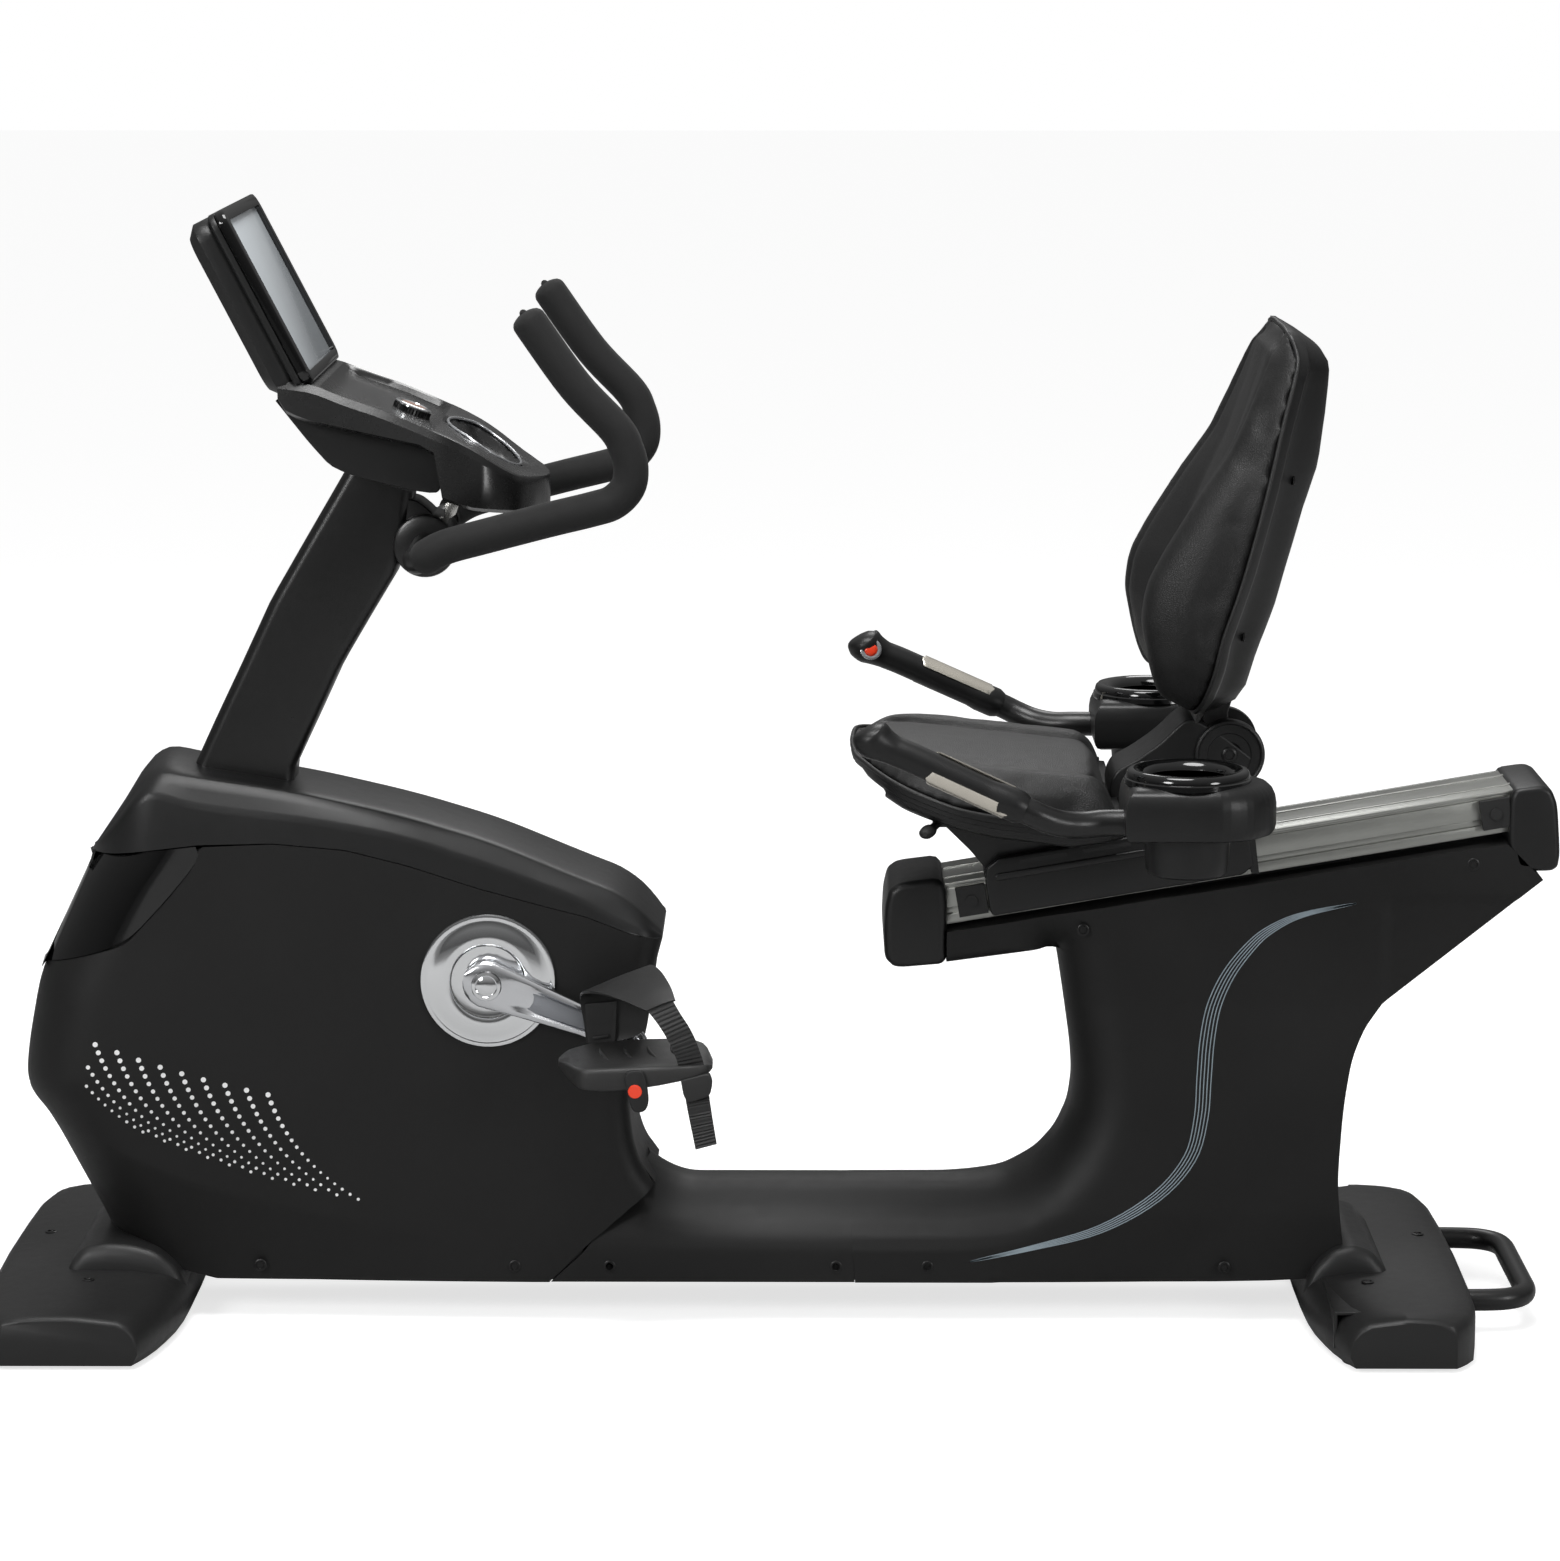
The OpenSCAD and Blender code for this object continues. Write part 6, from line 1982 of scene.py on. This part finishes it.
@dataclass
class DriveTrain(Assembly):
    """Crank, pedals and the parts inside the housing."""

    crank: tuple[float, float] = (-308.0, 383.0)
    throw: float = 170.0
    rest: float = 21.4

    def arm(self) -> list[bpy.types.Object]:
        """Builds the right crank arm along +X: polished body, sunk web and domed cap."""
        rings = []
        stations = [-26, -23, -18, -10, 0, 12, 24, 40, 60, 85, 110, 130, 146, 158, 168, 176, 182, 185.4]
        for x in stations:
            if x < 20:
                half = 26.5 * dome(x + 26.6, 26.6) if x < 0 else 26.5 - 0.1 * x
            elif x < 150:
                half = across([(20, 24.5), (60, 20.5), (110, 16.5), (150, 15.8)], x)
            else:
                half = 15.8 * dome(185.8 - x, 26)
            low = across([(-26, 104.8), (0, 104.3), (60, 107), (170, 108)], x)
            high = across([(-26, 124.5), (0, 125.6), (50, 123), (120, 121), (170, 123.5), (186, 122.5)], x)
            ring = []
            for k in range(28):
                a = 2 * math.pi * k / 28
                cy, cz = math.cos(a), math.sin(a)
                y = (low + high) / 2 + (high - low) / 2 * math.copysign(abs(cy) ** 0.55, cy)
                z = half * math.copysign(abs(cz) ** 0.8, cz)
                if cy > 0 and 34 < x < 148 and abs(z) < half * 0.62:
                    y -= 4.2 * dome(x - 34, 14) * dome(148 - x, 14)
                ring.append((x, y, z))
            rings.append(ring)
        body = smooth(loft("arm_body", rings), 32)
        web_line = [(38, -8), (60, -10.6), (100, -8.6), (140, -6.2), (146, 0), (140, 6.2), (100, 8.6),
            (60, 10.6), (38, 8), (34, 0)]
        web = slab("arm_web", rounded(web_line + [web_line[0]], 3)[:-1], 112, 119.0, 0.8, 2)
        cap = lathe("arm_cap", [(0, 124), (16, 124), (16.6, 126.4), (15.4, 128.6), (12.2, 129.6),
            (11, 128.4), (8, 129.8), (4, 130.6), (0, 130.8)], (0, 0, 0), (0, 1, 0), 48)
        boss = lathe("spindle_boss", [(0, 120), (12.4, 120), (12.4, 125.6), (11.4, 126.8), (8.2, 127),
            (7.4, 128), (6.9, 134.6), (0, 134.6)], (self.throw, 0, 0), (0, 1, 0), 40)
        return [body, web, cap, boss]

    def turned(self, parts: list[bpy.types.Object], side: int, spin: float) -> list[bpy.types.Object]:
        """Puts a copy of right-hand pieces on one side of the crank."""
        out = []
        for part in parts:
            pick(part)
            bpy.ops.object.duplicate()
            twin = bpy.context.object
            if side == LEFT:
                twin.data.transform(Matrix.Scale(-1, 4, (0, 1, 0)))
                twin.data.flip_normals()
            placed(twin, Matrix.Rotation(math.radians(spin), 3, "Y"), (self.crank[0], 0, self.crank[1]))
            out.append(twin)
        return out

    def spindle(self, side: int) -> tuple[float, float]:
        """Gives (x, z) of a pedal spindle at rest."""
        a = math.radians(self.rest if side == LEFT else self.rest + 180)
        return self.crank[0] + self.throw * math.cos(a), self.crank[1] - self.throw * math.sin(a)

    def pedal(self) -> dict[str, list[bpy.types.Object]]:
        """Builds the right pedal about its own spindle: tread, ribs, tag, strap and buckle."""
        rings = []
        for x in (-78.6, -77.5, -74, -68, -60, -54, -50, -44, -30, -10, 10, 30, 50, 62, 70, 76, 81, 84.6,
            86.6, 87.4):
            near = across([(-78.6, 176), (-74, 186), (-60, 217), (-52, 229), (-44, 231.5), (70, 231.5),
                (80, 228), (85, 220), (87.4, 206)], x)
            far = across([(-78.6, 164), (-74, 156), (-60, 145), (-44, 138), (0, 136), (60, 138), (74, 146),
                (82, 160), (87.4, 190)], x)
            heights = [across(line, x) for line in (
                [(-78.6, -9), (-74, -7), (-52, -5), (20, -2), (80, 0), (87.4, -5)],
                [(-78.6, -15), (-70, -22), (-56, -30), (-23, -33), (20, -28), (60, -19), (80, -13),
                    (87.4, -10)],
                [(-78.6, -8), (-70, -1), (-48, 4), (0, 9), (60, 10.5), (78, 7), (87.4, -3)],
                [(-78.6, -11), (-50, -16), (20, -16), (70, -12), (87.4, -8)])]
            ring = []
            for k in range(36):
                a = 2 * math.pi * k / 36
                cy, cz = math.cos(a), math.sin(a)
                u = 0.5 + 0.5 * math.copysign(abs(cy) ** 0.26, cy)
                v = 0.5 + 0.5 * math.copysign(abs(cz) ** 0.34, cz)
                low = heights[3] + (heights[1] - heights[3]) * u
                high = heights[2] + (heights[0] - heights[2]) * u - 2.5 * math.sin(math.pi * u)
                ring.append((x, far + (near - far) * u, low + (high - low) * v))
            rings.append(ring)
        body = smooth(loft("tread", rings), 44)
        ribs = []
        for x0 in (-34, -8, 17, 42):
            path = [(x0 + 15 * (t / 10) ** 2, 160 + 4.6 * t, across([(-50, 1.2), (60, 5.6)], x0) - 0.62 * t
                + 0.2) for t in range(11)]
            ribs.append(tube("rib", path, [0.4 + 2.1 * math.sin(math.pi * t / 10) for t in range(11)], 10))
        pill = rounded([(-6, -14), (-2, -6), (12, -5), (17, -12), (21, -40), (16, -51), (5, -52), (0, -44),
            (-6, -14)], 4, 0.45)[:-1]
        tag = slab("tag", pill, 229, 236.2, 2.2, 4)
        disc = lathe("tag_disc", [(0, 0), (7.2, 0), (7.6, 0.6), (7.0, 1.5), (0, 1.7)], (5.6, 235.4, -28.4),
            (0, 1, 0), 40)
        return {"body": [body] + ribs, "tag": [tag], "disc": [disc], "strap": self.strap()}

    def ribbon(
        self, name: str, left: Sequence[Point], right: Sequence[Point], thick: float, pitch: float = 0.0,
        bow: float = 0.0,
    ) -> bpy.types.Object:
        """Builds a moulded strap between two edge lines, with cross ridges if given a pitch.

        Args:
            name: Name of the piece.
            left: Points along one edge.
            right: Points along the other edge.
            thick: Thickness.
            pitch: Distance between ridges, or zero for none.
            bow: How far the middle stands out.

        Returns:
            The new object.
        """
        first, second = curve_through(left, 14), curve_through(right, 14)
        rings, run_length = [], 0.0
        for i, (p, q) in enumerate(zip(first, second)):
            back, ahead = max(i - 1, 0), min(i + 1, len(first) - 1)
            run = (first[ahead] + second[ahead] - first[back] - second[back]) / 2
            run_length += run.length / (2 if 0 < i < len(first) - 1 else 1)
            out = (q - p).cross(run).normalized()
            ridge = 1.1 * (0.5 + 0.5 * math.sin(2 * math.pi * run_length / pitch)) if pitch else 0.0
            front = [p.lerp(q, k / 8) + out * (thick + ridge + bow * math.sin(math.pi * k / 8))
                for k in range(9)]
            rear = [p.lerp(q, k / 8) + out * bow * math.sin(math.pi * k / 8) for k in range(8, -1, -1)]
            rings.append([tuple(v) for v in front + rear])
        return smooth(loft(name, rings), 42)

    def strap(self) -> list[bpy.types.Object]:
        """Builds the flared strap, its inner strip, the ridged band, the buckle and the tail."""
        band = self.ribbon("strap_band", [
            (-50, 138, 2), (-53, 137, 26), (-56, 141, 46), (-54, 152, 58), (-41, 172, 64), (-24, 192, 65),
            (0, 213, 61), (19, 227, 56)],
            [(-16, 138, 4), (12, 137, 16), (18, 139, 52), (14, 152, 80), (22, 172, 93), (33, 192, 91),
                (43, 213, 81), (49, 227, 68)], 3.0, bow=1.6)
        ridged = self.ribbon("strap_ridged", [
            (17, 223, 59), (30, 230, 44), (39, 231, 30), (46, 229, 15), (51, 224, 0), (53, 221, -8)],
            [(44, 223, 71), (54, 230, 55), (63, 231, 41), (71, 229, 24), (77, 224, 5), (79, 221, -4)], 2.4,
            4.6)
        tail = self.ribbon("strap_tail", [
            (56, 224, -16), (59, 226, -38), (63, 227, -60), (67, 227, -80), (69.5, 227, -93)],
            [(82, 224, -10), (84, 226, -33), (87, 227, -55), (90, 227, -74), (92, 227, -87)], 2.4, 3.5)
        inner = self.ribbon("strap_inner", [(-48, 141, 2), (-50, 141, 22), (-51, 143, 46)],
            [(-19, 141, 5), (-18, 141, 26), (-17, 143, 49)], 1.6)
        slot = slab("strap_slot", [(-43, 7), (-26, 10), (-26, 13), (-43, 10)], 142.4, 144.6, 0.4, 2)
        buckle = slab("buckle", rounded([(54, -17), (84, -9), (88, -20), (85, -34), (62, -42), (57, -34),
            (54, -17)], 4, 0.3)[:-1], 219, 233, 2.4, 4)
        return [band, ridged, tail, inner, slot, buckle]

    def build(self) -> None:
        """Builds the drive train."""
        model = self.arm()
        for side, name in ((LEFT, "left"), (RIGHT, "right")):
            spin = self.rest if side == LEFT else self.rest + 180
            body, web, cap, boss = self.turned(model, side, spin)
            self.paint.dress(join(name + "_arm", [body, boss]), "arm", "crank", [name + "_crank_arm"],
                "cast_arm")
            self.paint.dress(web, "arm_web", "crank", slot="cast_arm").name = name + "_arm_web"
            self.paint.dress(cap, "chrome", "crank", slot="cast_arm").name = name + "_arm_cap"
        for part in model:
            bpy.data.objects.remove(part)
        discs = []
        for side in (LEFT, RIGHT):
            discs.append(lathe("disc", [(0, 60), (24, 60), (24, 97.6), (71, 98.2), (73.2, 98.6),
                (73.5, 99.6), (72.6, 101.2), (70, 101.9), (68.4, 101.5),
                                        (66.6, 101.4), (60, 103.0), (50, 104.6), (42, 105.2), (40.6, 104.4),
                                        (39.4, 102.4), (38, 102.0), (26, 102.4), (0, 102.4)],
                                        (self.crank[0], 0, self.crank[1]), (0, side, 0), 96))
        self.paint.dress(join("crank_cover_discs", discs), "chrome", "crank", ["crank_discs"], "chrome")
        model_pedal = self.pedal()
        for side, name in ((LEFT, "left"), (RIGHT, "right")):
            x, z = self.spindle(side)
            for key, finish, node_name, slot in (("body", "pedal", name + "_pedal", "pedal_plastic"),
                ("tag", "rubber", "", "pedal_plastic"),
                                                 ("disc", "red", "", "button_red"),
                                                 ("strap", "strap", name + "_pedal_strap", "strap_rubber")):
                copies = []
                for part in model_pedal[key]:
                    pick(part)
                    bpy.ops.object.duplicate()
                    twin = bpy.context.object
                    if side == LEFT:
                        twin.data.transform(Matrix.Scale(-1, 4, (0, 1, 0)))
                        twin.data.flip_normals()
                    copies.append(placed(twin, Matrix.Identity(3), (x, 0, z)))
                piece = join(f"{name}_toe_strap" if key == "strap" else f"{name}_pedal_{key}", copies)
                self.paint.dress(piece, finish, name + "_pedal", [node_name] if node_name else [], slot)
        for parts in model_pedal.values():
            for part in parts:
                bpy.data.objects.remove(part)
        for name, key, edge in (
            ("crank_axle", "steel", 1.0), ("drive_pulley", "rubber", 1.0), ("flywheel", "iron", 2.0),
            ("idler_pulley", "rubber", 1.0), ("brake_arm", "silver", 1.0),
            ("crank_bearings", "steel", 0.5), ("drive_belt", "belt", 0.0),
        ):
            self.paint.carry(self.frame, name, key, edge)


@dataclass
class Chassis(Assembly):
    """The steel frame, fasteners and rollers that stay as the frame has them."""

    def build(self) -> None:
        """Dresses every carried node and builds the screws."""
        for name, key, edge in (
            ("base_beam", "paint", 2.0), ("front_upright", "paint", 1.5), ("rear_post", "paint", 2.0),
            ("stabilizers", "paint", 2.0), ("levelling_feet", "rubber", 1.5),
            ("carriage_frame", "paint", 1.5), ("backrest_bracket", "paint", 1.5),
            ("transport_wheels", "rubber", 2.0),
        ):
            self.paint.carry(self.frame, name, key, edge)
        screws = []
        profile = [(0, -0.4), (6.6, -0.4), (6.9, 0.5), (6.2, 1.1), (4.4, 1.2), (3.8, 0.1), (0, 0.1)]
        for side in (LEFT, RIGHT):
            for x in (-561, -282, -178, 70, 170, 495):
                screws.append(lathe("screw", profile, (x, side * (93.4 if x == -561 else 96.9), 63),
                    (0, side, 0), 24))
            for x, z in ((338, 435), (760, 508)):
                screws.append(lathe("screw", profile, (x, side * 74.6, z), (0, side, 0), 24))
        for x, y in ((-812, 50), (-742, -150), (724, 50), (646, -150)):
            screws.append(lathe("screw", profile, (x, y, 61.6), (0, 0, 1), 24))
        self.paint.dress(join("cover_fasteners", screws), "screw", "frame", ["cover_screws"], "screw_black")


@dataclass
class Studio:
    """The pale floor, soft lights and camera."""

    eye: Point = (42.2, -5400.0, 1526.65)
    pitch: float = 9.876
    yaw: float = 0.361
    lens: float = 115.31

    def build(self) -> None:
        """Sets up the floor, the world, the lights and the camera."""
        deselect()
        bpy.ops.mesh.primitive_plane_add(size=60)
        floor = bpy.context.object
        floor.name = "floor"
        made = bpy.data.materials.new("pale_floor")
        made.use_nodes = True
        tree = made.node_tree
        tree.nodes.remove(tree.nodes["Principled BSDF"])
        seen = node(tree, "ShaderNodeLightPath")
        matt = node(tree, "ShaderNodeBsdfDiffuse", Color=(0.42, 0.42, 0.42, 1))
        pale = node(tree, "ShaderNodeBsdfDiffuse", Color=(0.62, 0.62, 0.62, 1))
        glow = node(tree, "ShaderNodeEmission", Strength=0.72)
        lit = node(tree, "ShaderNodeAddShader")
        tree.links.new(pale.outputs[0], lit.inputs[0])
        tree.links.new(glow.outputs[0], lit.inputs[1])
        pick_one = node(tree, "ShaderNodeMixShader")
        tree.links.new(seen.outputs["Is Camera Ray"], pick_one.inputs[0])
        tree.links.new(matt.outputs[0], pick_one.inputs[1])
        tree.links.new(lit.outputs[0], pick_one.inputs[2])
        tree.links.new(pick_one.outputs[0], tree.nodes["Material Output"].inputs[0])
        floor.data.materials.append(made)
        self.sky()
        bpy.context.scene.view_settings.view_transform = "Standard"
        for name, place, aim, size, power in (
            ("key", (-2.6, -3.6, 2.4), (0, 0, 0.5), 1.4, 80), ("fill", (3.4, -3.0, 1.6), (0, 0, 0.6), 1.2,
                40),
            ("top", (-0.2, -1.0, 4.0), (0, 0, 0.2), 2.0, 105), ("back", (0.4, 3.2, 3.4), (0, 0, 0.6), 1.6,
                30),
        ):
            lamp = bpy.data.lights.new(name, "AREA")
            lamp.energy, lamp.shape, lamp.size = power, "DISK", size
            obj = bpy.data.objects.new(name, lamp)
            bpy.context.collection.objects.link(obj)
            obj.location = place
            obj.rotation_euler = (Vector(aim) - Vector(place)).to_track_quat("-Z", "Y").to_euler()
        self.camera()

    def sky(self) -> None:
        """Makes the surroundings: white to look at, and dim near the horizon as light."""
        world = bpy.data.worlds.new("studio")
        bpy.context.scene.world = world
        world.use_nodes = True
        tree = world.node_tree
        up = node(tree, "ShaderNodeSeparateXYZ")
        tree.links.new(node(tree, "ShaderNodeTexCoord").outputs["Generated"], up.inputs[0])
        level = node(tree, "ShaderNodeMapRange")
        level.inputs["From Min"].default_value, level.inputs["From Max"].default_value = -0.05, 0.9
        level.inputs["To Min"].default_value, level.inputs["To Max"].default_value = 0.05, 0.5
        tree.links.new(up.outputs["Z"], level.inputs["Value"])
        seen = node(tree, "ShaderNodeLightPath").outputs["Is Camera Ray"]
        strength = maths(tree, "MAXIMUM", level.outputs["Result"], seen)
        tree.links.new(strength, tree.nodes["Background"].inputs["Strength"])
        tree.nodes["Background"].inputs["Color"].default_value = (1, 1, 1, 1)

    def camera(self) -> None:
        """Places the camera."""
        data = bpy.data.cameras.new("camera")
        data.lens, data.sensor_width = self.lens, 36
        data.clip_end = 100
        camera = bpy.data.objects.new("camera", data)
        bpy.context.collection.objects.link(camera)
        camera.location = Vector(self.eye) * MM
        camera.rotation_euler = (math.radians(90 - self.pitch), 0, math.radians(self.yaw))
        bpy.context.scene.camera = camera


def main() -> None:
    """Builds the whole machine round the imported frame."""
    logging.basicConfig(level=logging.INFO, format="%(message)s")
    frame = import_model()
    deselect()
    Studio().build()
    paint = Paintbox()
    for kind in (
        DriveHousing, BeamCover, RearCovers, Feet, Rail, Seat, Backrest, SideGrips, MastAndBars, Console,
        DriveTrain, Chassis,
    ):
        kind(frame, paint).build()
        LOG.info("%s done", kind.__name__)


if __name__ == "__main__":
    main()
